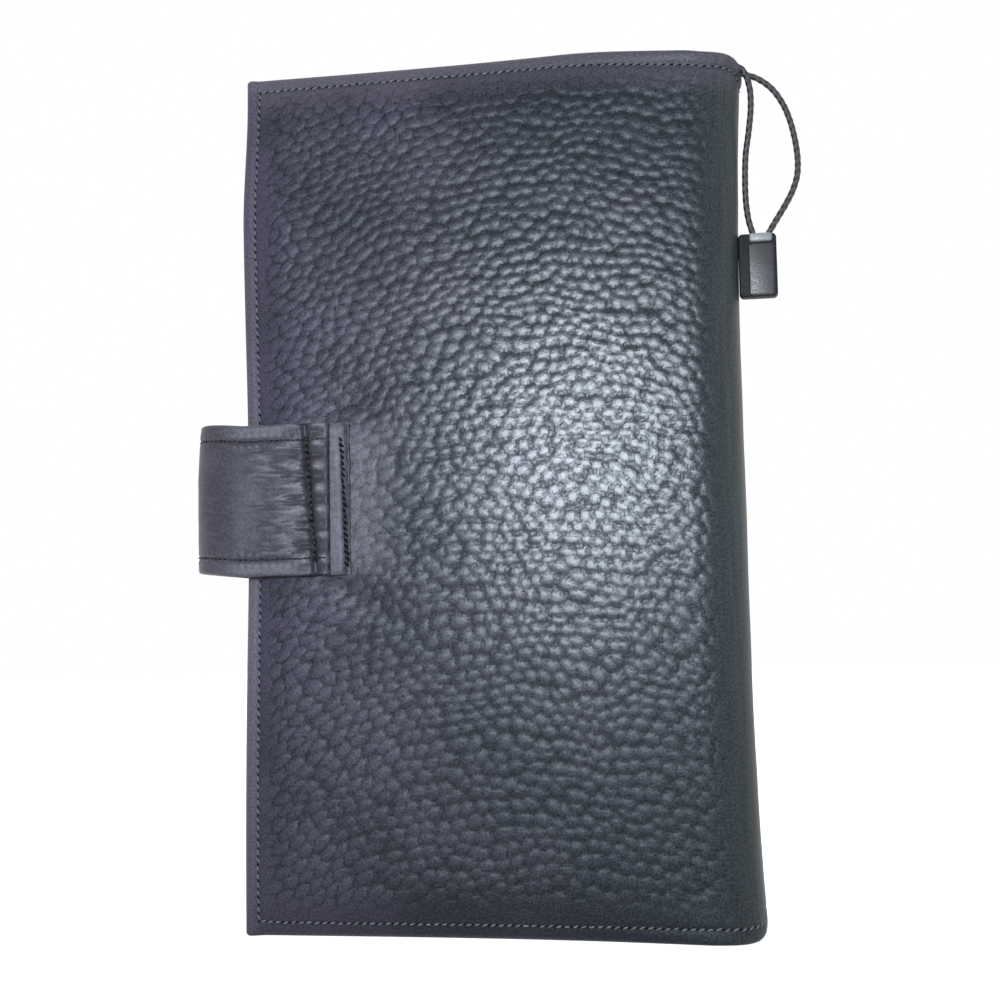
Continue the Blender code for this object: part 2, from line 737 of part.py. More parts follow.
def make_pull_end(body):
    """The moulded end that holds the cord's two ends: a rounded block with a sunk panel on each face."""
    left = SPINE_RADIUS + PULL_OFFSET
    right = left + PULL_WIDTH
    half = PULL_THICKNESS / 2
    bottom = PULL_TOP - PULL_HEIGHT
    item = block("pull_end", body, "plastic", (left, -half, bottom), (right, half, PULL_TOP))
    bevel = item.modifiers.new("round", "BEVEL")
    bevel.width = PULL_ROUND * MM
    bevel.segments = 2
    neck = PULL_TOP - COLLAR_HEIGHT
    for side in (BACK, FRONT):
        near, far = sorted((side * (half - PANEL_RECESS), side * (half + 1)))
        low = (left + RECESS_BORDER, near, bottom + RECESS_BORDER)
        high = (right - RECESS_BORDER, far, neck - COLLAR_STEP)
        cut(item, body, block_mesh("sunk_panel", low, high))


def clear_scene():
    for item in list(bpy.data.objects):
        bpy.data.objects.remove(item, do_unlink=True)


clear_scene()
parts = new_collection("leather_wallet")
cutters = new_collection("cutters")

strap_outside = STRAP_FOLD + STRAP_BULGE
strap_back = base_face(-STRAP_END) + STRAP_THICKNESS
cap_front = tongue_face() + STRAP_THICKNESS + GAP + CAP_HEIGHT
root = new_empty("wallet", (0, 0, 0))
root.location = Vector(((strap_outside - SPINE_RADIUS) / 2, (strap_back - cap_front) / 2, 0)) * MM

fold_x = SPINE_RADIUS * math.sin(FOLD_TURN)
fold_y = SPINE_RADIUS * math.cos(FOLD_TURN)
spine = new_empty("spine_axis", (fold_x, -fold_y, 0), root)
front = new_empty("front_axis", (fold_x, fold_y, 0), spine)
swing_y = -(base_face(-STRAP_FOLD) + STRAP_THICKNESS)
swing = new_empty("strap_swing_axis", (-STRAP_FOLD, swing_y, STRAP_MIDDLE), root)
peel_y = tongue_face() + STRAP_THICKNESS
peel = new_empty("strap_peel_axis", (-STRAP_FOLD, peel_y, STRAP_MIDDLE), swing)
slide = new_empty("slider_axis", (CORD_AT, 0, SLIDER_MIDDLE), spine)
hang_height = COVER_HEIGHT - HEAD_DROOP - HEAD_DIP + GAP + CORD_RADIUS
pull = new_empty("pull_axis", (SPINE_RADIUS, 0, hang_height), spine)

make_cover(BACK, root, "back")
front_cover, front_board = make_cover(FRONT, front, "front")
drill_for_snap(front_cover, front_board, front)
make_spine(spine)
make_panel(BACK, root, "back")
make_panel(FRONT, front, "front")
make_pockets(BACK, root, "back", BACK_POCKETS, BACK_TOP)
pocket("slip_pocket_back", BACK, root, SLIP_BOTTOM, SLIP_TOP)
make_pockets(FRONT, front, "front", FRONT_POCKETS, FRONT_TOP)
make_window(front)
make_strap_base(root)
make_strap_wrap(swing)
make_tongue(peel)
make_snap(peel, front)
make_zip(spine)
make_slider(slide)
make_cord(pull)
make_pull_end(pull)
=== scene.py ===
# A long wallet of pebbled leather, standing closed on its short end: the looks.
# Lengths are millimetres in the wallet's own frame, where x = 0, y = 0 is the centre of the spine's bend,
# x runs towards the spine, y from the back cover to the front one and z up. toFrame makes them metres.
import math

import bmesh
import bpy
from mathutils import Matrix, Vector, noise


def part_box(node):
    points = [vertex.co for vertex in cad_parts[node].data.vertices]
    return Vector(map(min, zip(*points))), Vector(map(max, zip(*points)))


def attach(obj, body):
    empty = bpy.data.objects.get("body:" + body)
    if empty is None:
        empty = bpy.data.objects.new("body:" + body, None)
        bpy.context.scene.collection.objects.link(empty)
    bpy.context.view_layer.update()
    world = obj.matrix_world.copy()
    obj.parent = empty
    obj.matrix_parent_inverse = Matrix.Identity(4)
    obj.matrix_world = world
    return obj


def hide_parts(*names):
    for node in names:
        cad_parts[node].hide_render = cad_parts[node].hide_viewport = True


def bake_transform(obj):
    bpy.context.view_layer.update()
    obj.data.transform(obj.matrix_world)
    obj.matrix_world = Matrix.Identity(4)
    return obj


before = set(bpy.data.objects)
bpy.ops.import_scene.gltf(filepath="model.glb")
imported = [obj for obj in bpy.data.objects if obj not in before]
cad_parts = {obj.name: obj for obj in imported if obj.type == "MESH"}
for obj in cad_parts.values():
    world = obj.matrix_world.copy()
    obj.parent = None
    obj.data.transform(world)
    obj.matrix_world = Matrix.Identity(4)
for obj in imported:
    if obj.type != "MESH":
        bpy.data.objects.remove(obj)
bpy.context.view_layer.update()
mm = 0.001
perMm = 1000.0  # pattern repeats on Object coordinates, which are metres
back, front = -1, 1

cover = {
    "reach": 99.0,  # from the sewn opening edge to where the bend starts
    "radius": 11.0,  # of the bend
    "shoulderHalf": 9.0,  # half the thickness inside the opening edge, and the way to reach it
    "shoulderRun": 16.0,
    "edgeHalf": 5.5,
    "edgeSweep": 3.5,
    "headDroop": 3.6,  # the head falls towards the bend, and lifts and dips round it
    "headRun": 44.0,
    "headDip": 4.0,
    "headLift": 2.0,
    "tailDip": 3.0,
    "endFlare": 2.1,  # the spine's ends stand out a little, and so does its middle
    "flareRun": 75.0,
    "flareAcross": (-12.0, 8.0),
    "belly": 0.4,
    "bellyAt": 80.0,
    "span": 45.0,  # of the belly and of the waist
    "edgeDraw": 0.35,  # the opening edge is drawn in, more by the strap and at its upper corner
    "waist": 1.17,
    "headDraw": 1.3,
    "drawAcross": (-99.0, -60.0),
    "hem": (1.0, 0.5),  # the turned leather is thicker along the opening edge, and along the head
    "corner": 0.9,  # rounding at the opening edge's two ends
    "square": 0.9,  # the bend stands out at its quarters
    "leather": 1.5,
    "turnedEdge": 1.1,  # radius of the folded edge
    "seam": 3.3,  # from the edge
    "groove": 0.28,
    "pressedStrip": 6.5,
}
spineLow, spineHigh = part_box("cover_spine")
coverLow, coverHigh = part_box("cover_back")
height = coverHigh.z / mm
runEnd = cover["reach"] + cover["radius"] * math.pi / 2  # where the two covers' leather meets on the bend
middle = Vector((spineHigh.x - cover["radius"] * mm, (spineLow.y + spineHigh.y) / 2, 0))


def toFrame(point):
    # the wallet's millimetres to the shared frame's metres
    return Vector(point) * mm + middle


def clamp(value):
    return min(max(value, 0.0), 1.0)


def ease(share):
    share = clamp(share)
    return share * share * (3 - 2 * share)


def between(value, low, high):
    return ease((value - low) / (high - low))


def mix(a, b, share):
    return a + (b - a) * share


def hill(distance, width):
    return math.exp(-((distance / width) ** 2))


def spread(value, stops):
    # the place on straight lines between (value, place) stops
    for (shareA, placeA), (shareB, placeB) in zip(stops, stops[1:]):
        if value <= shareB:
            return placeA + (placeB - placeA) * (value - shareA) / (shareB - shareA)
    return stops[-1][1]


def smoothCurve(points, share):
    # Catmull-Rom curve through the points
    spans = len(points) - 1
    index = min(int(share * spans), spans - 1)
    t = share * spans - index
    ends = [points[max(index - 1, 0)], points[index], points[index + 1], points[min(index + 2, spans)]]
    a, b, c, d = (Vector(end) for end in ends)
    return b + (c - a) * t / 2 + (a - 2.5 * b + 2 * c - d / 2) * t**2 + (1.5 * (b - c) + (d - a) / 2) * t**3


# form of the closed covers

def fullHalf(x):
    # half the closed wallet's thickness, away from its edges
    return cover["shoulderHalf"] + (cover["radius"] - cover["shoulderHalf"]) * (x / cover["reach"] + 1)


def shoulder(distance):
    # how a cover rises to its full thickness inside an edge
    return 1 - (1 - clamp(distance / cover["shoulderRun"])) ** 3


def coverHalf(x, z):
    along = clamp(x / cover["reach"] + 1)
    edge = cover["edgeHalf"] + (cover["radius"] - cover["edgeHalf"]) * along ** cover["edgeSweep"]
    rise = shoulder(x + cover["reach"]) * shoulder(min(z, height - z))
    return edge + (fullHalf(x) - edge) * rise


def bendDip(run):
    # 0 on a cover's face to 1 at the middle of the bend
    return 1 - abs(math.cos(max(run - cover["reach"], 0.0) / cover["radius"]))


def cornerDip(run):
    return cover["corner"] * (1 - clamp(run / cover["corner"])) ** 2


def footHeight(run):
    return cover["tailDip"] * bendDip(run) ** 2.5 + cornerDip(run)


def headHeight(run):
    droop = cover["headDroop"] * ease(1 - abs(run - runEnd) / cover["headRun"])
    lift = cover["headLift"] * between(run, cover["reach"] + 2, cover["reach"] + 13)
    return height - droop + lift - cover["headDip"] * bendDip(run) - cornerDip(run)


def hemAt(run, z):
    # how much thicker the leather is where it is turned over
    edge, head = cover["hem"]
    return max(edge * (1 - between(run, 1.0, 4.5)), head * (1 - between(headHeight(run) - z, 1.0, 4.5)))


def coverPoint(run, z, depth, side):
    # run goes along the leather from the opening edge to the spine's middle; depth is under its face
    if run <= cover["reach"]:
        x, y = run - cover["reach"], side * (coverHalf(run - cover["reach"], z) - depth)
    else:
        turn = (run - cover["reach"]) / cover["radius"]
        reach = cover["radius"] - depth + cover["square"] * math.sin(2 * turn) ** 2
        x, y = reach * math.sin(turn), side * reach * math.cos(turn)
    fromEnd = min(z, height - z)
    flare = cover["endFlare"] * clamp(1 - fromEnd / cover["flareRun"]) ** 2
    flare += cover["belly"] * hill(z - cover["bellyAt"], cover["span"])
    drawn = cover["edgeDraw"] + cover["waist"] * hill(z - height / 2, cover["span"])
    drawn += cover["headDraw"] * between(z, 155, 185)
    x += flare * between(x, *cover["flareAcross"]) + drawn * (1 - between(x, *cover["drawAcross"]))
    return Vector((x, y, z))


# making meshes

def makeShape(name, shape, materials, sharp=40):
    # a bmesh in the wallet's millimetres becomes an object at the origin, in metres
    for vert in shape.verts:
        vert.co = toFrame(vert.co)
    mesh = bpy.data.meshes.new(name)
    shape.to_mesh(mesh)
    shape.free()
    mesh.shade_smooth()
    mesh.set_sharp_from_angle(angle=math.radians(sharp))
    for material in materials:
        mesh.materials.append(material)
    item = bpy.data.objects.new(name, mesh)
    bpy.context.scene.collection.objects.link(item)
    return item


def extrudeFaces(shape, faces):
    # the copies of the faces, and their corners
    made = bmesh.ops.extrude_face_region(shape, geom=faces)["geom"]
    copies = [face for face in made if isinstance(face, bmesh.types.BMFace)]
    return copies, [vert for vert in made if isinstance(vert, bmesh.types.BMVert)]


def finishPiece(item, nodes, body=None, bend=None):
    # a piece rides on one body; one given a bend between two is baked where it stands instead
    if bend:
        first, second, start, end = bend
        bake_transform(item)
        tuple(start)
        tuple(end)
    else:
        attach(item, body)
    if nodes:
        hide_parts(*nodes)
    return item


def makeSheet(name, cells, fine, place, materials, marks=()):
    # a closed sheet whose seen face, w = 0, is cut finer; place(u, v, w) gives the point, its place on the
    # flat leather, and a value for each mark
    shape = bmesh.new()
    bmesh.ops.create_grid(shape, x_segments=cells[0], y_segments=cells[1], size=0.5)
    for vert in extrudeFaces(shape, shape.faces[:])[1]:
        vert.co.z = 1
    if fine > 1:
        seen = [edge for edge in shape.edges if edge.verts[0].co.z + edge.verts[1].co.z < 0.5]
        bmesh.ops.subdivide_edges(shape, edges=seen, cuts=fine - 1, use_grid_fill=True)
    flatLayer = shape.verts.layers.float_vector.new("flat")
    layers = [shape.verts.layers.float.new(mark) for mark in marks]
    for vert in shape.verts:
        point, flat, *values = place(vert.co.x + 0.5, vert.co.y + 0.5, vert.co.z)
        vert.co = point
        vert[flatLayer] = (flat[0], flat[1], 0)
        for layer, value in zip(layers, values):
            vert[layer] = value
    bmesh.ops.recalc_face_normals(shape, faces=shape.faces)
    return makeShape(name, shape, materials, sharp=50)


def roundedDrop(distance, radius):
    # how far a rounded edge has fallen away, this far from its rim
    inside = clamp(distance / radius) * radius
    return radius - math.sqrt(max(radius**2 - (radius - inside) ** 2, 0.0))


def makeTurned(name, place, profile, material, segments=64):
    # profile of (radius, rise) pairs, turned about an axis along y
    shape = bmesh.new()
    verts = [shape.verts.new((radius, rise, 0)) for radius, rise in profile]
    edges = [shape.edges.new(pair) for pair in zip(verts, verts[1:])]
    about = {"axis": (0, 1, 0), "cent": (0, 0, 0), "angle": math.tau, "use_merge": True}
    bmesh.ops.spin(shape, geom=verts + edges, steps=segments, **about)
    bmesh.ops.remove_doubles(shape, verts=shape.verts, dist=0.001)
    bmesh.ops.recalc_face_normals(shape, faces=shape.faces)
    bmesh.ops.translate(shape, verts=shape.verts, vec=place)
    return makeShape(name, shape, [material])


def bevelEdges(shape, edges, width, segments):
    bmesh.ops.bevel(
        shape, geom=edges, offset=width, segments=segments, profile=0.5, affect="EDGES", material=-1
    )


def addBlock(shape, low, high, bevel, segments=2):
    # a box between two corners, with rounded edges
    low, high = Vector(low), Vector(high)
    size = Matrix.Diagonal((*(high - low), 1))
    made = bmesh.ops.create_cube(shape, size=1, matrix=Matrix.Translation((low + high) / 2) @ size)
    edges = list({edge for vert in made["verts"] for edge in vert.link_edges})
    bevelEdges(shape, edges, bevel, segments)


def roundedLoop(shape, low, high, radius, y, segments=40):
    # a rounded rectangle in x and z: a circle whose quarters move out to the corners
    turn = Matrix.Rotation(math.pi / 2, 4, "X") @ Matrix.Rotation(math.pi / segments, 4, "Z")
    made = bmesh.ops.create_circle(shape, segments=segments, radius=radius, matrix=turn)
    centre = ((low[0] + high[0]) / 2, (low[1] + high[1]) / 2)
    reach = ((high[0] - low[0]) / 2 - radius, (high[1] - low[1]) / 2 - radius)
    for vert in made["verts"]:
        x, z = vert.co.x, vert.co.z
        x += centre[0] + math.copysign(reach[0], x)
        z += centre[1] + math.copysign(reach[1], z)
        vert.co = (x, y, z)
    return list({edge for vert in made["verts"] for edge in vert.link_edges})


def addPad(shape, low, high, radius, ys, bevel, finish=0):
    # a block with rounded corners in x and z, between two values of y
    edges = roundedLoop(shape, low, high, radius, ys[0])
    faces = bmesh.ops.contextual_create(shape, geom=edges)["faces"]
    copies, verts = extrudeFaces(shape, faces)
    bmesh.ops.translate(shape, verts=verts, vec=(0, ys[1] - ys[0], 0))
    caps = [*faces, *copies]
    for cap in caps:
        for edge in cap.edges:
            for face in edge.link_faces:
                face.material_index = finish
    bevelEdges(shape, list({edge for cap in caps for edge in cap.edges}), bevel, 3)


# nodes and materials

def hexColour(text):
    parts = [int(text[i : i + 2], 16) / 255 for i in (1, 3, 5)]
    return (*[c / 12.92 if c <= 0.04045 else ((c + 0.055) / 1.055) ** 2.4 for c in parts], 1.0)


def connect(tree, node, inputs):
    # each socket, by name or number, takes a value or another node's output; a Mix has its factor at 0 and
    # its colours at 6 and 7, a MapRange its value at 0 and its two spans, from and to, at 1 to 4
    for name, value in inputs.items():
        if isinstance(value, bpy.types.NodeSocket):
            tree.links.new(value, node.inputs[name])
        else:
            node.inputs[name].default_value = value


def addNode(tree, kind, inputs, output=0, stops=(), **settings):
    node = tree.nodes.new("ShaderNode" + kind)
    for name, value in settings.items():
        setattr(node, name, value)
    if stops:
        ends = node.color_ramp.elements
        ends.remove(ends[1])
        ends[0].position, ends[0].color = stops[0][0], hexColour(stops[0][1])
        for place, colour in stops[1:]:
            ends.new(place).color = hexColour(colour)
    connect(tree, node, inputs)
    return node.outputs[output]


def newMaterial(name):
    material = bpy.data.materials.new(name)
    material.use_nodes = True
    return material, material.node_tree, material.node_tree.nodes["Principled BSDF"]


multiply = {"data_type": "RGBA", "blend_type": "MULTIPLY"}  # settings of a Mix node


def makePebbledLeather():
    # cowhide, drum-dyed and milled until its grain draws up into pebbles, with a thin wax finish: crowns
    # shine where the hand has polished the middle of a cover; creases and pebbles' feet get painted shade
    # and fine wrinkles
    material, tree, shader = newMaterial("milled cowhide")
    names = ("pebble", "press", "rub", "polish")
    marks = [addNode(tree, "Attribute", {}, "Fac", attribute_name=name) for name in names]
    pebble, press, rub, polish = marks
    place = addNode(tree, "Attribute", {}, "Vector", attribute_name="flat")
    run, up = (addNode(tree, "SeparateXYZ", {0: place}, axis) for axis in (0, 1))
    dyeMm, wrinkleMm, poreMm, dustMm = 28, 1.2, 0.6, 0.5
    # clouded dye, and a painted reflection tint along the run: violet at the opening edge, blue-black
    # further in and grey round the spine
    dye = addNode(tree, "TexNoise", {"Vector": place, "Scale": 1 / dyeMm, "Detail": 2.0})
    across = addNode(tree, "MapRange", {0: run, 1: 0.0, 2: 118.0, 3: -0.32, 4: 0.32})
    where = addNode(tree, "Math", {0: dye, 1: across}, operation="ADD")
    tints = [(0.2, "#3a3646"), (0.42, "#24212d"), (0.6, "#141823"), (0.76, "#161a23")]
    tint = addNode(tree, "ValToRGB", {0: where}, stops=tints)
    spine = addNode(tree, "MapRange", {0: run, 1: 100.0, 2: 107.0})
    tint = addNode(tree, "Mix", {0: spine, 6: tint, 7: hexColour("#33393b")}, 2, data_type="RGBA")
    # worn leather is paler, and creases and the pebbles' feet are darkened: painted shade
    rubbed = addNode(tree, "Mix", {0: rub, 6: tint, 7: hexColour("#5c5965")}, 2, data_type="RGBA")
    colour = addNode(tree, "Mix", {0: pebble, 6: hexColour("#0c0d12"), 7: rubbed}, 2, data_type="RGBA")
    # long streaks along the spine, specks of dust, fine wrinkles in the low leather with painted shade in
    # their lines, and painted shade towards the foot
    drawn = addNode(tree, "Mapping", {"Vector": place, "Scale": (0.9, 0.05, 1.0)})
    drawn = addNode(tree, "TexNoise", {"Vector": drawn, "Scale": 1.0, "Detail": 3.0})
    streak = addNode(tree, "MapRange", {0: drawn, 1: 0.3, 2: 0.7, 3: 0.75, 4: 1.3})
    dust = addNode(tree, "TexNoise", {"Vector": place, "Scale": 1 / dustMm, "Detail": 3.0, "Roughness": 0.6})
    fleck = addNode(tree, "MapRange", {0: dust, 1: 0.35, 2: 0.7, 3: 0.8, 4: 1.28})
    wrinkle = {"Vector": place, "Scale": 1 / wrinkleMm}
    fromLine = addNode(tree, "TexVoronoi", wrinkle, feature="DISTANCE_TO_EDGE")
    cut = addNode(tree, "MapRange", {0: fromLine, 1: 0.0, 2: 0.12, 3: 1.0, 4: 0.0})
    shown = addNode(tree, "MapRange", {0: pebble, 1: 0.3, 2: 1.0, 3: 0.9, 4: 0.15})
    line = addNode(tree, "Math", {0: cut, 1: shown}, operation="MULTIPLY")
    even = addNode(tree, "MapRange", {0: line, 1: 0.0, 2: 1.0, 3: 1.0, 4: 0.35})
    foot = addNode(tree, "MapRange", {0: up, 1: 0.0, 2: 75.0, 3: 0.64, 4: 1.0})
    for share, shade in ((spine, streak), (1.0, fleck), (1.0, even), (1.0, foot)):
        colour = addNode(tree, "Mix", {0: share, 6: colour, 7: shade}, 2, **multiply)
    # creases, pressed edges and what no hand has polished are duller
    rough = addNode(tree, "MapRange", {0: dust, 1: 0.3, 2: 0.7, 3: 0.25, 4: 0.34})
    dulls = ((pebble, 1.0, 0.06, 0.0), (press, 1.0, 0.0, 0.1), (polish, 0.8, 0.14, 0.0))
    for mark, full, low, high in dulls:
        dull = addNode(tree, "MapRange", {0: mark, 1: 0.0, 2: full, 3: low, 4: high})
        rough = addNode(tree, "Math", {0: rough, 1: dull}, operation="ADD")
    crest = addNode(tree, "MapRange", {0: pebble, 1: 0.0, 2: 0.8, 3: 0.22, 4: 0.28})
    glint = addNode(tree, "MapRange", {0: dust, 1: 0.4, 2: 0.65, 3: 0.65, 4: 1.55})
    waxed = addNode(tree, "MapRange", {0: pebble, 1: 0.0, 2: 1.0, 3: 0.1, 4: 0.36})
    # wrinkles are cut in, and pores and dust are shallower where the leather is pressed
    pores = addNode(tree, "TexVoronoi", {"Vector": place, "Scale": 1 / poreMm})
    normal = addNode(tree, "Bump", {"Height": even, "Distance": 0.035 * mm})
    for bumps, free, pressed in ((pores, 0.008 * mm, 0.004 * mm), (dust, 0.018 * mm, 0.006 * mm)):
        deep = addNode(tree, "MapRange", {0: press, 1: 0.0, 2: 1.0, 3: free, 4: pressed})
        normal = addNode(tree, "Bump", {"Height": bumps, "Distance": deep, "Normal": normal})
    connect(tree, shader, {
        "Base Color": colour,
        "Roughness": rough,
        "Specular IOR Level": addNode(tree, "Math", {0: crest, 1: glint}, operation="MULTIPLY"),
        "Specular Tint": hexColour("#dcebf6"),
        "Coat Weight": addNode(tree, "Math", {0: waxed, 1: polish}, operation="MULTIPLY"),
        "Coat Roughness": 0.27,
        "Coat Normal": normal,
        "Normal": normal,
    })
    return material


def makeSmoothLeather(name, base, light, roughness, grainMm):
    # split leather, coated and plated nearly smooth: a fine printed grain, clouded dye, rubbed streaks
    material, tree, shader = newMaterial(name)
    place = addNode(tree, "Attribute", {}, "Vector", attribute_name="flat")
    rub = addNode(tree, "Attribute", {}, "Fac", attribute_name="rub")
    cloudMm, dustMm = 11, 0.7
    long = addNode(tree, "Mapping", {"Vector": place, "Scale": (0.3, 1.0, 1.0)})
    streak = addNode(tree, "TexNoise", {"Vector": long, "Scale": 0.8, "Detail": 4.0, "Roughness": 0.6})
    cloud = addNode(tree, "TexNoise", {"Vector": place, "Scale": 1 / cloudMm, "Detail": 2.0})
    dust = addNode(tree, "TexNoise", {"Vector": place, "Scale": 1 / dustMm, "Detail": 3.0})
    pores = addNode(tree, "TexVoronoi", {"Vector": place, "Scale": 1 / grainMm})
    tint = addNode(tree, "ValToRGB", {0: cloud}, stops=[(0.35, base), (0.62, light)])
    shade = addNode(tree, "MapRange", {0: streak, 1: 0.35, 2: 0.7, 3: 0.8, 4: 1.2})
    fleck = addNode(tree, "MapRange", {0: dust, 1: 0.35, 2: 0.7, 3: 0.7, 4: 1.35})
    # a rub over 0 is paler and one under 0 darker: on the strap, wear along the long edges, painted
    # highlight on puffs and fold tops, and painted shade in dents and along the first seam; on the lining,
    # random mottling and a darker skived end
    rubDarkening = addNode(tree, "MapRange", {0: rub, 1: -1.0, 2: 0.0, 3: 0.3, 4: 1.0})
    colour = addNode(tree, "Mix", {0: 1.0, 6: tint, 7: shade}, 2, **multiply)
    colour = addNode(tree, "Mix", {0: rub, 6: colour, 7: hexColour("#787b82")}, 2, data_type="RGBA")
    for shade in (rubDarkening, fleck):
        colour = addNode(tree, "Mix", {0: 1.0, 6: colour, 7: shade}, 2, **multiply)
    pitted = addNode(tree, "Bump", {"Height": pores, "Distance": 0.015 * mm})
    connect(tree, shader, {
        "Base Color": colour,
        "Roughness": addNode(tree, "MapRange", {0: dust, 1: 0.3, 2: 0.7, 3: roughness, 4: roughness + 0.12}),
        "Specular IOR Level": 0.35,
        "Specular Tint": hexColour("#dce6f6"),
        "Normal": addNode(tree, "Bump", {"Height": dust, "Distance": 0.035 * mm, "Normal": pitted}),
    })
    return material


waveStep = 0.31  # about how far apart a Wave texture's bands are at scale 1


def makeThread(name, dark, light):
    # bonded polyester sewing thread: two plies, with a painted sheen along each and painted shade between
    material, tree, shader = newMaterial(name)
    place = addNode(tree, "TexCoord", {}, "Object")
    plyMm = 0.3
    wave = {"Vector": place, "Scale": waveStep * perMm / plyMm, "Distortion": 1.5}
    ply = addNode(tree, "TexWave", wave, bands_direction="DIAGONAL")
    connect(tree, shader, {
        "Base Color": addNode(tree, "ValToRGB", {0: ply}, stops=[(0.2, dark), (0.8, light)]),
        "Roughness": 0.5,
        "Normal": addNode(tree, "Bump", {"Height": ply, "Distance": 0.04 * mm}),
    })
    return material


def makeHole():
    # needle hole: painted shadow, near black over raw leather with a fine nap
    material, tree, shader = newMaterial("needle hole, painted shadow")
    place = addNode(tree, "TexCoord", {}, "Object")
    napMm = 0.3
    nap = addNode(tree, "TexNoise", {"Vector": place, "Scale": perMm / napMm})
    connect(tree, shader, {
        "Base Color": addNode(tree, "ValToRGB", {0: nap}, stops=[(0.3, "#0c0d11"), (0.7, "#17181e")]),
        "Roughness": 0.95,
        "Specular IOR Level": 0.08,
    })
    return material


def makeCloth(name, dark, light, threadMm):
    # plain-woven polyester: threads cross over and under, dull, with slubs
    material, tree, shader = newMaterial(name)
    place = addNode(tree, "Attribute", {}, "Vector", attribute_name="flat")
    wave, slubMm = {"Vector": place, "Scale": waveStep / threadMm}, 2.5
    warp, weft = (addNode(tree, "TexWave", wave, bands_direction=way) for way in ("X", "Y"))
    weave = addNode(tree, "Math", {0: warp, 1: weft}, operation="MULTIPLY")
    slub = addNode(tree, "TexNoise", {"Vector": place, "Scale": 1 / slubMm, "Detail": 4.0})
    yarn = addNode(tree, "ValToRGB", {0: weave}, stops=[(0.0, dark), (0.8, light)])
    shade = addNode(tree, "MapRange", {0: slub, 1: 0.3, 2: 0.7, 3: 0.8, 4: 1.2})
    connect(tree, shader, {
        "Base Color": addNode(tree, "Mix", {0: 1.0, 6: yarn, 7: shade}, 2, **multiply),
        "Roughness": 0.82,
        "Specular IOR Level": 0.25,
        "Normal": addNode(tree, "Bump", {"Height": weave, "Distance": 0.1 * mm}),
    })
    return material


def makeBoard():
    # grey board, pressed from pulp: dull, with long pale fibres
    material, tree, shader = newMaterial("pressed grey board")
    place = addNode(tree, "TexCoord", {}, "Object")
    fine = 0.9 * perMm
    long = addNode(tree, "Mapping", {"Vector": place, "Scale": (fine / 3, fine, fine)})
    fibre = addNode(tree, "TexNoise", {"Vector": long, "Scale": 1.0, "Detail": 5.0})
    connect(tree, shader, {
        "Base Color": addNode(tree, "ValToRGB", {0: fibre}, stops=[(0.3, "#6f675a"), (0.7, "#a09684")]),
        "Roughness": 0.9,
        "Normal": addNode(tree, "Bump", {"Height": fibre, "Distance": 0.1 * mm}),
    })
    return material


def makeFilm():
    # cast soft clear film: glossy, with shallow waves and a few rub marks
    material, tree, shader = newMaterial("soft clear film")
    place = addNode(tree, "Attribute", {}, "Vector", attribute_name="flat")
    waveLong, rubMm = 9, 0.8
    wave = addNode(tree, "TexNoise", {"Vector": place, "Scale": 1 / waveLong, "Detail": 1.0})
    rub = addNode(tree, "TexNoise", {"Vector": place, "Scale": 1 / rubMm, "Detail": 4.0})
    connect(tree, shader, {
        "Base Color": hexColour("#c4c9cc"),
        "Alpha": 0.2,
        "IOR": 1.5,
        "Roughness": addNode(tree, "MapRange", {0: rub, 1: 0.4, 2: 0.75, 3: 0.05, 4: 0.22}),
        "Normal": addNode(tree, "Bump", {"Height": wave, "Distance": 0.4 * mm, "Strength": 0.5}),
    })
    return material


def makeMetal(name, dark, light, roughness):
    # zinc casting or brass pressing under dark nickel, brushed before plating: short soft scratches
    material, tree, shader = newMaterial(name)
    place = addNode(tree, "TexCoord", {}, "Object")
    scratchMm, scratchLong, cloudMm = 0.25, 10, 1.6
    fine = perMm / scratchMm
    long = addNode(tree, "Mapping", {"Vector": place, "Scale": (fine, fine, fine / scratchLong)})
    brushed = addNode(tree, "TexNoise", {"Vector": long, "Scale": 1.0, "Detail": 3.0})
    cloud = addNode(tree, "TexNoise", {"Vector": place, "Scale": perMm / cloudMm, "Detail": 3.0})
    rough = {0: brushed, 1: 0.3, 2: 0.7, 3: roughness - 0.06, 4: roughness + 0.08}
    connect(tree, shader, {
        "Base Color": addNode(tree, "ValToRGB", {0: cloud}, stops=[(0.3, dark), (0.7, light)]),
        "Metallic": 1.0,
        "Roughness": addNode(tree, "MapRange", rough),
        "Normal": addNode(tree, "Bump", {"Height": brushed, "Distance": 0.01 * mm}),
    })
    return material


def makePlastic(name, dark, light, roughness, specular):
    # moulded nylon: an eggshell skin from the mould, with rubbed patches
    material, tree, shader = newMaterial(name)
    place = addNode(tree, "TexCoord", {}, "Object")
    skinMm, cloudMm = 0.4, 2.8
    skin = addNode(tree, "TexNoise", {"Vector": place, "Scale": perMm / skinMm, "Detail": 4.0})
    cloud = addNode(tree, "TexNoise", {"Vector": place, "Scale": perMm / cloudMm, "Detail": 2.0})
    rough = {0: skin, 1: 0.3, 2: 0.7, 3: roughness - 0.07, 4: roughness + 0.1}
    connect(tree, shader, {
        "Base Color": addNode(tree, "ValToRGB", {0: cloud}, stops=[(0.3, dark), (0.7, light)]),
        "Roughness": addNode(tree, "MapRange", rough),
        "Specular IOR Level": specular,
        "Normal": addNode(tree, "Bump", {"Height": skin, "Distance": 0.02 * mm}),
    })
    return material


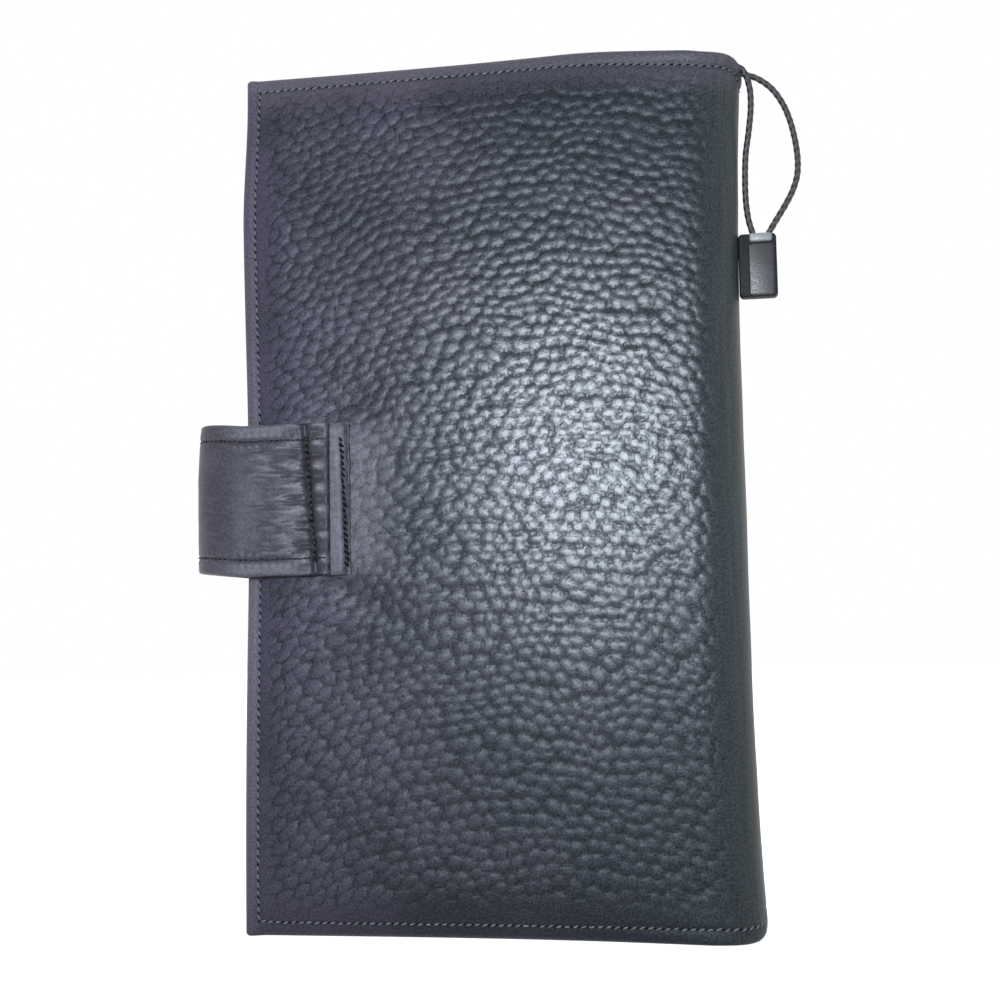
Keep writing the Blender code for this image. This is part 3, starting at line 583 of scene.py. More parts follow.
def makeCordYarn():
    # waxed twisted cord: filament yarn, lighter along each ply's crest as painted highlight and darker
    # between plies as painted shade
    material, tree, shader = newMaterial("waxed twisted cord")
    place = addNode(tree, "TexCoord", {}, "Object")
    ply = addNode(tree, "Attribute", {}, "Fac", attribute_name="ply")
    yarnMm = 0.25
    yarn = addNode(tree, "TexNoise", {"Vector": place, "Scale": perMm / yarnMm, "Detail": 3.0})
    tint = addNode(tree, "ValToRGB", {0: ply}, stops=[(0.0, "#0b0c0f"), (0.55, "#202327"), (1.0, "#3d4146")])
    shade = addNode(tree, "MapRange", {0: yarn, 1: 0.3, 2: 0.7, 3: 0.75, 4: 1.3})
    connect(tree, shader, {
        "Base Color": addNode(tree, "Mix", {0: 1.0, 6: tint, 7: shade}, 2, **multiply),
        "Roughness": 0.55,
        "Normal": addNode(tree, "Bump", {"Height": yarn, "Distance": 0.05 * mm}),
    })
    return material


print("materials")
pebbled = makePebbledLeather()
strapLeather = makeSmoothLeather("plated strap leather", "#35323c", "#3e3c46", 0.36, 0.5)
strapLining = makeSmoothLeather("strap lining leather", "#4a4b55", "#585963", 0.42, 0.45)
panelLeather = makeSmoothLeather("plated pocket leather", "#20212a", "#292b34", 0.4, 0.6)
thread = makeThread("bonded polyester thread", "#3d3f4a", "#6c6e7a")
darkThread = makeThread("waxed polyester thread", "#0f1015", "#23252b")
needleHole = makeHole()
lining = makeCloth("woven lining", "#101116", "#2b2c34", 0.5)
tapeCloth = makeCloth("woven zip tape", "#0c0d11", "#222329", 0.6)
board = makeBoard()
film = makeFilm()
snapMetal = makeMetal("dark nickel on brass", "#55555a", "#6d6d72", 0.28)
zipMetal = makeMetal("dark nickel on zinc", "#4a4a50", "#62626a", 0.33)
coilNylon = makePlastic("nylon coil", "#101116", "#1d1e24", 0.4, 0.5)
pullPlastic = makePlastic("moulded nylon", "#07090b", "#0e1114", 0.6, 0.25)
pullFace = makePlastic("moulded nylon, paler face", "#1b2025", "#2b3137", 0.36, 0.4)
pullCollar = makePlastic("moulded nylon, pale rim", "#7a7f84", "#8d9296", 0.4, 0.5)
cordYarn = makeCordYarn()

# covers

grain = {
    "length": 3.9,  # of a pebble along its row, at the opening edge
    "shorten": 0.009,  # per millimetre towards the spine
    "width": 2.75,  # at the foot
    "narrow": 0.0028,  # per millimetre up
    "arch": 40.0,  # rows climb from the opening edge, and fall again past the crest
    "crest": 62.0,
    "drift": 2.2,  # rows wander this far
    "dome": 0.085,  # height of a pebble where the hide is drawn flattest
    "flattest": (76.0, 106.0),
    "flatSpan": (34.0, 47.0),
    "tall": 1.8,  # height of the other pebbles, in times that
    "footShade": 0.3,  # painted shade: how much darker a pebble is at its foot, where it is also duller
    "crease": (0.075, 0.28),  # depth, and half width in pebbles, of the crease about it
    "jitter": 0.41,  # of the pebbles' centres, in pebbles
    "swell": 0.09,  # slow waves of the hide
    "bendStart": 1.5,  # run past the bend's start where the grain fades
    "bendEnd": 7.5,
    "strapSpan": (110.5, 77.5),
    "pulledFold": 0.4,  # depth of the two folds that run from the strap's corners
}
pulledFolds = (((19, 112.5), (38, 121)), ((20, 75.5), (41, 66.5)))

noise.seed_set(7)  # pebbles and stitches wander the same way in every run
centres = {}


def pebbleCentre(column, row, seed):
    # pebbles sit like bricks, each second row half a pebble along, and wander from there
    if (column, row, seed) not in centres:
        jitter = noise.random_unit_vector(size=2) * (grain["jitter"] * noise.random())
        centres[column, row, seed] = (column + 0.5 * (row % 2) + jitter.x, row + jitter.y)
    return centres[column, row, seed]


def nearestPebbles(along, across, seed):
    # distances to the two nearest pebbles' centres, in pebbles
    row = round(across)
    near = second = 9.0
    for beside in (row - 1, row, row + 1):
        column = round(along - 0.5 * (beside % 2))
        for index in (column - 1, column, column + 1):
            x, y = pebbleCentre(index, beside, seed)
            away = math.hypot(x - along, y - across)
            if away < near:
                near, second = away, near
            elif away < second:
                second = away
    return near, second


def polishAt(run, z):
    # the middle of a cover is drawn flat over its board, and polished by the hand
    places = zip((run, z), grain["flattest"], grain["flatSpan"])
    return math.prod(hill(at - flattest, span) for at, flattest, span in places)


def pebbleAt(run, z, seed):
    # how far the leather lies under its highest crowns, and 0 in a crease to 1 on a crown
    drift = noise.noise_vector(Vector((run, z, seed)) * 0.07) * grain["drift"]
    x, y = run + drift.x, z + drift.y
    y += grain["arch"] * ((x - grain["crest"]) / 100) ** 2
    along = -math.log(grain["length"] - grain["shorten"] * x) / grain["shorten"]
    across = -math.log(grain["width"] - grain["narrow"] * y) / grain["narrow"]
    near, second = nearestPebbles(along, across, seed)
    deep, half = grain["crease"]
    crumb = 0.04 * noise.noise(Vector((run * 1.6, z * 1.6, seed)))
    edge = (1 - clamp((second - near) / half)) ** 2
    low = min((near / 0.6) ** 2, 1.25)
    dome = grain["dome"] * mix(grain["tall"], 1.0, polishAt(run, z))
    # crown is 0 in a crease and drops at a pebble's foot; the material paints shade from it
    crown = (1 - edge) * (1 - grain["footShade"] * min(low, 1.0) ** 2)
    return dome * (low**1.5 + crumb) + deep * edge, crown


def pressAt(run, z, side):
    # 1 where the leather is smooth: along its sewn edges, round the bend, and partly beside the strap
    fromEdge = min(z - footHeight(run), headHeight(run) - z)
    strip = 1 - between(fromEdge, cover["pressedStrip"] - 3.0, cover["pressedStrip"] + 4.5)
    strip *= mix(1.0, 0.8, between(fromEdge, cover["seam"], cover["seam"] + 2))
    edge = 1 - between(run, cover["seam"] + 0.3, cover["seam"] + 5.0)
    bend = between(run - cover["reach"], grain["bendStart"], grain["bendEnd"])
    high, low = grain["strapSpan"]
    beside = between(z, low - 4, low + 3) * (1 - between(z, high - 3, high + 4))
    smooth = 0.5 * beside * (1 - between(run, 24, 40)) if side == back else 0.0
    return max(strip, edge, bend, smooth)


def rubAt(run, z, side):
    # worn lighter along the opening edge and the head, and beside the strap's sewn end
    edge = (1 - between(run, 2.4, 3.8)) * mix(0.25, 0.9, hill(z - 70, 55))
    fromHead = headHeight(run) - z
    head = 0.35 * (1 - between(fromHead, 4.0, 11.0)) + 0.25 * (1 - between(fromHead, 2.4, 3.8))
    high, low = grain["strapSpan"]
    beside = between(z, low - 2, low + 5) * (1 - between(z, high - 5, high + 2)) * (1 - between(run, 26, 38))
    return max(edge, head, 0.8 * beside * between(run, 4, 8) if side == back else 0.0)


def foldAt(run, z):
    # the sewn strap draws the leather into a fold at each corner
    deep = 0.0
    for (startRun, startZ), (endRun, endZ) in pulledFolds:
        ahead = Vector((endRun - startRun, endZ - startZ))
        offset = Vector((run - startRun, z - startZ))
        along = offset.dot(ahead) / ahead.length_squared
        away = (offset - ahead * clamp(along)).length
        deep += hill(away, 2.2 + 1.5 * clamp(along)) * (1 - between(along, 0.3, 1.0))
    return deep * grain["pulledFold"]


coverCells = (29, 48)


def coverPlace(side, seed):
    # the first cell along each edge is a narrow one, for its rounding
    runs = [(0, 0), (1 / coverCells[0], 1.2), (1, runEnd)]
    step = 1 / coverCells[1]

    def place(u, v, w):
        run = spread(u, runs)
        low, high = footHeight(run), headHeight(run)
        z = spread(v, [(0, low), (step, low + 1.2), (1 - step, high - 1.2), (1, high)])
        fromEdge = min(run, z - low, high - z)
        press = pressAt(run, z, side)
        if w > 0.5:
            return coverPoint(run, z, cover["leather"], side), (run, z), 0.0, press, 0.0, 0.0
        deep, crown = pebbleAt(run, z, seed)
        seam = hill(fromEdge - cover["seam"], 0.6)
        depth = deep * (1 - press) + cover["groove"] * seam
        inside = between(fromEdge, cover["seam"], 14)
        depth += grain["swell"] * inside * (1 + noise.noise(Vector((run, z * 1.3, seed)) / 14))
        depth += roundedDrop(fromEdge, cover["turnedEdge"]) - hemAt(run, z)
        if side == back:
            depth += foldAt(run, z)
        # no painted crease shade on pressed leather, and painted shade along the seam's groove
        crown = mix(crown, 1.0, press) * (1 - 0.3 * seam)
        marks = (crown, press, rubAt(run, z, side), polishAt(run, z))
        return coverPoint(run, z, depth, side), (run, z), *marks

    return place


bendFlat = {side: toFrame((0, side * cover["radius"], height / 2)) for side in (back, front)}
bendRound = toFrame((cover["radius"], 0, height / 2))
coverBend = {
    back: ("back", "spine", bendFlat[back], bendRound),
    front: ("spine", "front", bendRound, bendFlat[front]),
}
tags = {back: "back", front: "front"}

print("covers")
coverMarks = ("pebble", "press", "rub", "polish")
for side, seed, nodes in ((back, 3.0, ("cover_back", "cover_spine")), (front, 40.0, ("cover_front",))):
    item = makeSheet("leather_" + tags[side], coverCells, 8, coverPlace(side, seed), [pebbled], coverMarks)
    finishPiece(item, nodes, bend=coverBend[side])

# stitches

stitch = {
    "pitch": 1.75,
    "length": 1.35,
    "thickness": 0.5,
    "slant": 0.35,  # in radians
    "hole": 0.3,
    "holeDeep": 0.12,
    "step": 0.4,  # along a seam, for finding its direction
}


def makeBead(name, finish, segments):
    # a unit ball with few faces, copied for each hole or each turn of thread
    shape = bmesh.new()
    bmesh.ops.create_uvsphere(shape, u_segments=segments[0], v_segments=segments[1], radius=1)
    for face in shape.faces:
        face.material_index = finish
    mesh = bpy.data.meshes.new(name)
    shape.to_mesh(mesh)
    shape.free()
    return mesh


beads = (makeBead("hole", 1, (8, 4)), makeBead("thread", 0, (6, 5)))


def sewSeam(shape, surface, line, outward, pitch=stitch["pitch"], hole=stitch["hole"], wander=0.0):
    # thread lies on the leather between needle holes; line holds places (a, b) of surface(a, b)
    points = [surface(*place) for place in line]
    lengths = [0.0]
    for start, end in zip(points, points[1:]):
        lengths.append(lengths[-1] + (end - start).length)
    stops = [(length, Vector(place)) for length, place in zip(lengths, line)]
    count = round(lengths[-1] / pitch)
    for index in range(2 * count + 1):
        distance = index / 2 * lengths[-1] / count
        a, b = spread(distance, stops)
        point = surface(a, b)
        step = stitch["step"]
        ahead = surface(*spread(distance + step, stops)) - surface(*spread(distance - step, stops))
        ahead.normalize()
        alongA = surface(a + step, b) - surface(a - step, b)
        alongB = surface(a, b + step) - surface(a, b - step)
        out = alongA.cross(alongB).normalized() * outward
        aside = out.cross(ahead).normalized()
        jitter = noise.noise_vector(Vector((distance * 3.1, a, b)))
        point = point + aside * jitter.x * wander
        if index % 2:
            # a turn of thread, which lies aslant
            size = stitch["thickness"] / 2 * (1 + 0.3 * jitter.z)
            slant = stitch["slant"] + 0.4 * jitter.y
            along = ahead * math.cos(slant) + aside * math.sin(slant)
            half = stitch["length"] * pitch / stitch["pitch"] / 2
            axes = (aside * size, out * size, along * half * (1 + 0.15 * jitter.x))
            point = point + out * 0.08
        else:
            # a flattened dark bead at each needle hole, painted shadow
            size = hole * (1 + 0.5 * jitter.z)
            slant = 2 * wander * (1 + jitter.y)
            along = ahead * math.cos(slant) + aside * math.sin(slant)
            axes = (along * size * 1.6, out.cross(along) * size * 0.75, out * stitch["holeDeep"])
        place = Matrix.Translation(point) @ Matrix(axes).transposed().to_4x4()
        beads[index % 2].transform(place)
        shape.from_mesh(beads[index % 2])
        beads[index % 2].transform(place.inverted())


def dense(line, step=1.0):
    # the same line with a point about every step
    points = [Vector(line[0])]
    for start, end in zip(line, line[1:]):
        start, end = Vector(start), Vector(end)
        count = max(math.ceil((end - start).length / step), 1)
        points += [start.lerp(end, index / count) for index in range(1, count + 1)]
    return [tuple(point) for point in points]


def makeCoverStitches(side):
    shape = bmesh.new()
    seam = cover["seam"]
    head = [(run, headHeight(run) - seam) for run in range(int(runEnd), 4, -2)]
    foot = [(run, footHeight(run) + seam) for run in range(4, int(runEnd) + 1, 2)]
    corner = (seam, headHeight(seam) - seam)

    def surface(run, z):
        return coverPoint(run, z, cover["groove"] + grain["swell"] * 0.1 - hemAt(run, z), side)

    for line in (dense([*head, corner]), dense([corner, (seam, seam)]), dense([(seam, seam), *foot])):
        sewSeam(shape, surface, line, -side, wander=0.18)
    item = makeShape("stitches_" + tags[side], shape, [thread, needleHole])
    return finishPiece(item, (), bend=coverBend[side])


print("stitches")
for side in (back, front):
    makeCoverStitches(side)

# closure strap

strap = {
    "width": 33.0,
    "middle": 94.0,
    "outer": 1.4,  # thickness of the outer layer
    "liningTop": 1.5,
    "thick": 2.5,
    "gap": 0.3,
    "fold": 97.0,  # where the strap leaves the covers
    "bulge": 14.4,
    "squareness": 2.3,
    "snapAt": 66.0,
    "rise": 2.0,  # room for the snap under the tongue
    "tongueEnd": 56.0,
    "tongueRound": 14.0,
    "outerEnd": 77.6,
    "liningEnd": 73.4,
    "seam": 3.6,
    "edge": 0.55,  # radius of the turned edges
    "firstSeam": (82.8, 80.4),  # at the top and at the bottom
    "secondSeam": (75.3, 73.9),
    "tuck": (0.8, 1.0, 0.3),  # the bulge draws in, more at its upper corner than at its lower one
    "lift": 1.2,  # the strap climbs round the opening edge
    "wrinkle": 0.5,
    "wrinkleRun": 21.0,
    "puff": 0.5,
    "puffPitch": 5.0,
}
strapLow = strap["middle"] - strap["width"] / 2
strapHigh = strap["middle"] + strap["width"] / 2
tongueFace = fullHalf(-strap["snapAt"]) + strap["gap"] + strap["rise"]
wrapStart = fullHalf(-strap["fold"]) + strap["gap"] + strap["thick"]
wrapEnd = tongueFace + strap["thick"]
wrapMiddle, wrapHalf = (wrapEnd - wrapStart) / 2, (wrapEnd + wrapStart) / 2


def wrapPoint(turn, depth, z):
    # the bulge round the opening edge, half of a squared oval
    power = 2 / strap["squareness"]
    out = max(math.cos(turn), 0.0) ** power
    fromMiddle = (z - strap["middle"]) / (strap["width"] / 2)
    tuck = strap["tuck"][0] + strap["tuck"][1 if fromMiddle > 0 else 2] * fromMiddle**2
    y = wrapMiddle + (wrapHalf - depth) * math.copysign(abs(math.sin(turn)) ** power, turn)
    return Vector((-strap["fold"] - (strap["bulge"] - tuck - depth) * out, y, z + strap["lift"] * out))


def wrapStops():
    # stops that take a length round the bulge to its angle
    turns = [math.pi * (index / 160 - 0.5) for index in range(161)]
    points = [wrapPoint(turn, 0, strap["middle"]) for turn in turns]
    stops, length = [(0.0, turns[0])], 0.0
    for turn, start, end in zip(turns[1:], points, points[1:]):
        length += (end - start).length
        stops.append((length, turn))
    return stops


wrapTurns = wrapStops()
baseLength = strap["fold"] - strap["liningEnd"]
wrapLength = wrapTurns[-1][0]
tongueLength = strap["fold"] - strap["tongueEnd"]
halfWay = baseLength + wrapLength / 2
strapEnd = baseLength + wrapLength + tongueLength
outerStart = strap["outerEnd"] - strap["liningEnd"]  # where the outer layer begins on the lining


def strapPoint(s, z, depth):
    # s runs from the lining's sewn end on the back cover, round the opening edge, to the tongue's tip
    if s < baseLength:
        x = -strap["liningEnd"] - s
        return Vector((x, -(fullHalf(x) + strap["gap"] + strap["thick"] - depth), z))
    if s < baseLength + wrapLength:
        return wrapPoint(spread(s - baseLength, wrapTurns), depth, z)
    return Vector((s - baseLength - wrapLength - strap["fold"], tongueFace + strap["thick"] - depth, z))


def strapHalf(s, inset=0.0):
    # half the strap's width, less an inset; it rounds off at the tongue's tip
    radius = strap["tongueRound"] - inset
    inside = min(max(strapEnd - inset - s, 0.0), radius)
    return strap["width"] / 2 - strap["tongueRound"] + math.sqrt(radius**2 - (radius - inside) ** 2)


def seamAt(ends, z):
    # where a seam that leans crosses this height
    x = mix(ends[1], ends[0], (z - strapLow) / strap["width"])
    return x - strap["liningEnd"]


def placeOnStrap(s, z):
    # how far past the first seam, and how far inside the long edges
    return s - seamAt(strap["firstSeam"], z), strapHalf(s) - abs(z - strap["middle"])


def puffAt(z):
    # between stitches the padded layer puffs up, unevenly along the first seam
    wander = 1.6 * noise.noise(Vector((1.0, z / 5, 5.0)))
    small = 0.6 * noise.noise(Vector((4.0, z / 1.3, 5.0)))
    return math.sin(math.tau * z / strap["puffPitch"] + wander) + small


def wrinkleAt(s, z):
    # fine folds along the strap that die away from the first seam; up is 1
    fromSeam, fromSide = placeOnStrap(s, z)
    fade = 1 - between(fromSeam, 1.0, strap["wrinkleRun"])
    fade *= between(fromSide, strap["seam"], strap["seam"] + 1.5)
    folds = noise.noise(Vector((s / 6, z / 1.7, 2.0))) + 0.7 * noise.noise(Vector((s / 3.5, z / 0.9, 7.0)))
    return -fade * folds if fromSeam > 0 else 0.0


def outerWearAndPaintedLight(s, z):
    # worn lighter along the long edges; painted highlight on what puffs up beside the first seam and on the
    # tops of the folds, and painted shade in the dents and along the first seam
    fromSeam, fromSide = placeOnStrap(s, z)
    band = (1 - between(fromSide, strap["seam"] - 1.2, strap["seam"])) * (1 - between(s, 20, 34))
    puffed = hill(fromSeam - 2.6, 2.4) + hill(fromSeam + 2.4, 1.6)
    return 0.3 * band + 0.6 * wrinkleAt(s, z) + puffed * (0.12 + 0.6 * puffAt(z)) - 1.3 * hill(fromSeam, 1.4)


def outerRelief(s, z):
    # how far the outer face lies under its flat form
    fromSeam, fromSide = placeOnStrap(s, z)
    away = abs(fromSide - strap["seam"])
    depth = 0.3 * hill(away, 0.5) - 0.12 * between(strap["seam"] - fromSide, 0.3, 1.2)
    depth += 0.07 * math.sin(math.tau * s / stitch["pitch"]) * hill(away, 1.3)
    puffs = puffAt(z)
    if fromSeam > 0:
        depth += 0.08 * noise.noise(Vector((s / 9, z / 4, 3.0))) - strap["wrinkle"] * wrinkleAt(s, z)
        depth -= 0.22 * hill(fromSeam - 2.0, 1.7) * (1 + puffs)
    else:
        across = clamp(-fromSeam / (seamAt(strap["firstSeam"], z) - outerStart))
        depth -= strap["puff"] * math.sin(math.pi * across) * (0.5 + puffs)
    return depth + 0.5 * hill(fromSeam, 0.8)


def outerPlace(start, end):
    def place(u, v, w):
        s = mix(start, end, 1 - (1 - u) ** 2 if end == strapEnd else u)
        half = strapHalf(s)
        z = strap["middle"] + half * (2 * v - 1)
        depth = strap["outer"]
        if w < 0.5:
            fromEdge = min(half * (1 - abs(2 * v - 1)), strapEnd - s)
            depth = outerRelief(s, z) + roundedDrop(fromEdge, strap["edge"])
            depth += roundedDrop(s - outerStart, strap["edge"]) if start == outerStart else 0.0
        rub = outerWearAndPaintedLight(s, z) if w < 0.5 else 0.0
        return strapPoint(s, z, min(depth, strap["outer"])), (s, z), rub

    return place


def liningPlace(start, end):
    def place(u, v, w):
        s = mix(start, end, 1 - (1 - u) ** 2 if end == strapEnd else u)
        half = strapHalf(s)
        z = strap["middle"] + half * (2 * v - 1)
        fromEdge = min(half * (1 - abs(2 * v - 1)), strapEnd - s, s if start == 0 else math.inf)
        ragged = noise.noise(Vector((0, z / 1.6, 11.0)))
        rub = 0.0
        if start == 0:
            # random mottling, and darker over the skived end
            rub = 0.6 * noise.noise(Vector((s, z / 1.2, 6.0))) - 0.7 * (1 - between(s + ragged, 0.6, 2.0))
        seam = 0.35 * hill(s - seamAt(strap["secondSeam"], z), 0.5) + 0.1 * ragged
        depth = strap["liningTop"] + seam + roundedDrop(fromEdge, 0.35)
        skived = between(1.6 - s, 0.0, 1.6)  # pared thin and drawn down by its seam
        depth += 0.85 * skived
        if w > 0.5:
            depth = strap["thick"] - roundedDrop(fromEdge, 0.35) + 0.25 * skived
        return strapPoint(s + 0.4 * ragged * skived, z, depth), (s, z), rub

    return place


# bodies and points for the strap's two halves: the first from the cover to the loop's tip, the other from
# there to the tongue
foldBack = toFrame((-strap["fold"], -wrapStart, strap["middle"]))
foldFront = toFrame((-strap["fold"], wrapEnd, strap["middle"]))
loopTip = toFrame((-strap["fold"] - strap["bulge"], wrapMiddle, strap["middle"]))
strapBend = {
    "base": ("back", "strap_loop", foldBack, loopTip),
    "tongue": ("strap_loop", "strap_tongue", loopTip, foldFront),
}
strapNodes = {
    "base": (("strap_base", "strap_wrap"), ("strap_underlay", "strap_wrap_lining")),
    "tongue": (("strap_tongue",), ("strap_tongue_lining",)),
}


def makeStrapStitches(part, start, end):
    # a seam inside each long edge, and two upright ones that hold the strap to the back cover
    shape = bmesh.new()

    def surface(s, z):
        return strapPoint(s, z, min(outerRelief(s, z), 0.6))

    def liningSurface(s, z):
        return strapPoint(s, z, strap["liningTop"] + 0.3)

    upper = [(s, strap["middle"] + strapHalf(s, strap["seam"])) for s in lineSteps(start, end)]
    lower = [(s, 2 * strap["middle"] - z) for s, z in upper]
    for line in (upper, lower) if part == "base" else ([*upper, *lower[::-1]],):
        sewSeam(shape, surface, line, -1, pitch=1.2, hole=0.25, wander=0.2)
    seams = (
        ("firstSeam", surface, 3.6, {"pitch": 1.4, "hole": 0.55, "wander": 0.5}),
        ("secondSeam", liningSurface, 2.2, {"pitch": 1.3, "hole": 0.46, "wander": 0.35}),
    )
    for seam, face, foot, look in seams if part == "base" else ():
        line = dense([(seamAt(strap[seam], z), z) for z in (strapHigh - strap["seam"], strapLow + foot)])
        sewSeam(shape, face, line, -1, **look)
    item = makeShape("strap_stitches_" + part, shape, [darkThread, needleHole])
    return finishPiece(item, (), bend=strapBend[part])


def lineSteps(start, end):
    # seams start a little inside the outer layer's end and stop short of the tongue's tip
    start = max(start, outerStart + 0.9)
    end = min(end, strapEnd - strap["seam"])
    count = math.ceil(end - start)
    return [mix(start, end, 1 - (1 - index / count) ** 2) for index in range(count + 1)]


print("strap")
for part, start, end in (("base", 0.0, halfWay), ("tongue", halfWay, strapEnd)):
    outerNodes, liningNodes = strapNodes[part]
    place = outerPlace(max(start, outerStart), end)
    item = makeSheet("strap_leather_" + part, (20, 16), 7, place, [strapLeather], ["rub"])
    finishPiece(item, outerNodes, bend=strapBend[part])
    item = makeSheet("strap_lining_" + part, (24, 14), 4, liningPlace(start, end), [strapLining], ["rub"])
    finishPiece(item, liningNodes, bend=strapBend[part])
    makeStrapStitches(part, start, end)

# snap

snap = {
    "flangeRadius": 4.5,
    "flange": 0.5,
    "studRadius": 2.3,
    "studHeight": 1.4,
    "clearance": 0.6,
    "wall": 2.1,
    "capRadius": 6.2,
    "capHeight": 1.4,
}


def makeSnap():
    # stud on the front cover, socket in the tongue's lining and domed cap outside, each as (radius, rise)
    gap = strap["gap"]
    tip = snap["flange"] + snap["studHeight"]
    neck = snap["studRadius"] - snap["clearance"] / 2
    radius, rim = snap["studRadius"], snap["flangeRadius"]
    stud = [
        (0, tip - 0.35), (0.9, tip - 0.35), (1.1, tip - 0.12), (neck - 0.35, tip), (neck, tip - 0.1),
        (radius, tip - 0.5), (radius - 0.05, tip - 0.75), (neck, snap["flange"] + 0.15),
        (neck + 0.2, snap["flange"]), (rim - 0.9, 0.44), (rim - 0.25, 0.4), (rim, 0.2), (rim, 0), (0, 0),
    ]
    bore = radius + snap["clearance"]
    outer = bore + snap["wall"]
    seat = fullHalf(-strap["snapAt"] + snap["flangeRadius"]) + gap
    socketSeat = seat + snap["flange"] + gap
    capSeat = tongueFace + strap["thick"] + gap
    deep = tongueFace + strap["thick"] - strap["liningTop"] - socketSeat
    socket = [
        (0, deep), (outer, deep), (outer, 0.35), (outer - 0.3, 0.05), (outer - 0.8, 0), (bore + 0.75, 0),
        (bore + 0.55, 0.22), (bore + 0.35, 0.05), (bore + 0.12, 0), (bore, 0.12), (bore, snap["studHeight"]),
        (0, snap["studHeight"]),
    ]
    edge, rise = snap["capRadius"], snap["capHeight"]
    turns = [math.radians(angle) for angle in range(84, 43, -8)]
    cap = [
        (0, rise), *((edge * math.cos(turn), rise * math.sin(turn)) for turn in turns),
        (edge * 0.76, rise * 0.58), (edge * 0.79, rise * 0.55), (edge * 0.82, rise * 0.62),
        (edge * 0.92, rise * 0.45), (edge * 0.98, rise * 0.25), (edge, 0.1), (edge - 0.05, 0),
        (1.2, 0), (1.2, -strap["outer"]), (0, -strap["outer"]),
    ]
    for name, y, profile, body in (
        ("stud", seat, stud, "front"), ("socket", socketSeat, socket, "strap_tongue"),
        ("cap", capSeat, cap, "strap_tongue"),
    ):
        item = makeTurned(name, (-strap["snapAt"], y, strap["middle"]), profile, snapMetal)
        finishPiece(item, ("snap_" + name,), body)


print("snap")
makeSnap()

# lining, panels and pockets

inside = {
    "liningInset": 0.8,
    "liningBlend": 7.5,
    "lining": 0.4,
    "liningDepth": (1.8, 3.3),  # at the sewn edges, and over the board
    "panelFace": 2.2,
    "panel": 0.8,
    "panelInset": 1.0,
    "panelStop": 6.0,
    "margin": 3.0,
    "pocketFoot": 1.45,
    "pocketLip": 0.45,
    "pocket": 0.45,
    "backLips": (171, 158, 145, 132, 119),
    "frontLips": (102, 89, 76),
    "pocketLap": 16.0,
    "cardDepth": 56.0,
    "slip": (4.0, 54.0),
    "seam": 1.6,  # inside a panel's edge
    "window": (112.0, 182.0),
    "windowBorder": 8.0,
    "film": 0.25,
}
panelLeft = inside["panelInset"] - cover["reach"]
pocketSpan = (panelLeft + inside["margin"], -inside["panelStop"] - inside["margin"])


def makeLining(side):
    inset = inside["liningInset"]

    def place(u, v, w):
        run = mix(inset, runEnd, u)
        z = mix(footHeight(run) + inset, headHeight(run) - inset, v)
        over = clamp((min(run, z, height - z) - inset) / inside["liningBlend"])
        depth = mix(*inside["liningDepth"], ease(over)) + inside["lining"] * (1 - w)
        return coverPoint(run, z, depth, side), (run, z)

    item = makeSheet("lining_cloth_" + tags[side], (26, 24), 2, place, [lining])
    nodes = ("lining_back", "lining_spine") if side == back else ("lining_front",)
    return finishPiece(item, nodes, bend=coverBend[side])


def makePanel(side):
    # the inner leather, with a stitched edge
    def panelPoint(x, z, depth):
        return Vector((x, side * (inside["panelFace"] + depth), z))

    first, last = inside["panelInset"], cover["reach"] - inside["panelStop"]

    def place(u, v, w):
        run = mix(first, last, u)
        low, high = first, headHeight(run) - first
        z = mix(low, high, v)
        fromEdge = min(run - first, last - run, z - low, high - z)
        depth = inside["panel"]
        if w < 0.5:
            depth = roundedDrop(fromEdge, 0.35) + 0.12 * hill(fromEdge - inside["seam"], 0.4)
        return panelPoint(run - cover["reach"], z, depth), (run, z)

    item = makeSheet("panel_leather_" + tags[side], (24, 44), 5, place, [panelLeather])
    finishPiece(item, ("inner_panel_" + tags[side],), tags[side])
    seam = inside["panelInset"] + inside["seam"]
    left, right = seam - cover["reach"], -inside["panelStop"] - inside["seam"]
    head = [(x, headHeight(x + cover["reach"]) - seam) for x in range(int(right), int(left), -3)]
    corners = [(left, height - seam), (left, seam), (right, seam)]
    line = dense([(right, seam), (right, head[0][1]), *head, *corners])
    shape = bmesh.new()
    sewSeam(shape, lambda x, z: panelPoint(x, z, 0.1), line, side, pitch=2.2, hole=0.25)
    item = makeShape("panel_stitches_" + tags[side], shape, [thread, needleHole])
    finishPiece(item, (), tags[side])


def makePocket(name, side, low, high, node):
    # a pocket's leather: its foot lies by the panel, its skived lip stands out and has a creased line
    def place(u, v, w):
        x, z = mix(*pocketSpan, u), mix(low, high, v)
        out = mix(inside["pocketFoot"], inside["pocketLip"], v)
        if w < 0.5:
            out += roundedDrop(high - z, 0.22) + 0.1 * hill(high - z - 1.8, 0.25)
        return (x, side * (out + inside["pocket"] * w), z), (x, z)

    item = makeSheet(name, (16, round((high - low) / 2)), 3, place, [panelLeather])
    return finishPiece(item, (node,), tags[side])


def makePockets(side, lips):
    for index, high in enumerate(lips, 1):
        low = high - (inside["cardDepth"] if index == len(lips) else inside["pocketLap"])
        tag = f"{tags[side]}_{index}"
        makePocket("pocket_leather_" + tag, side, low, high, "card_pocket_" + tag)


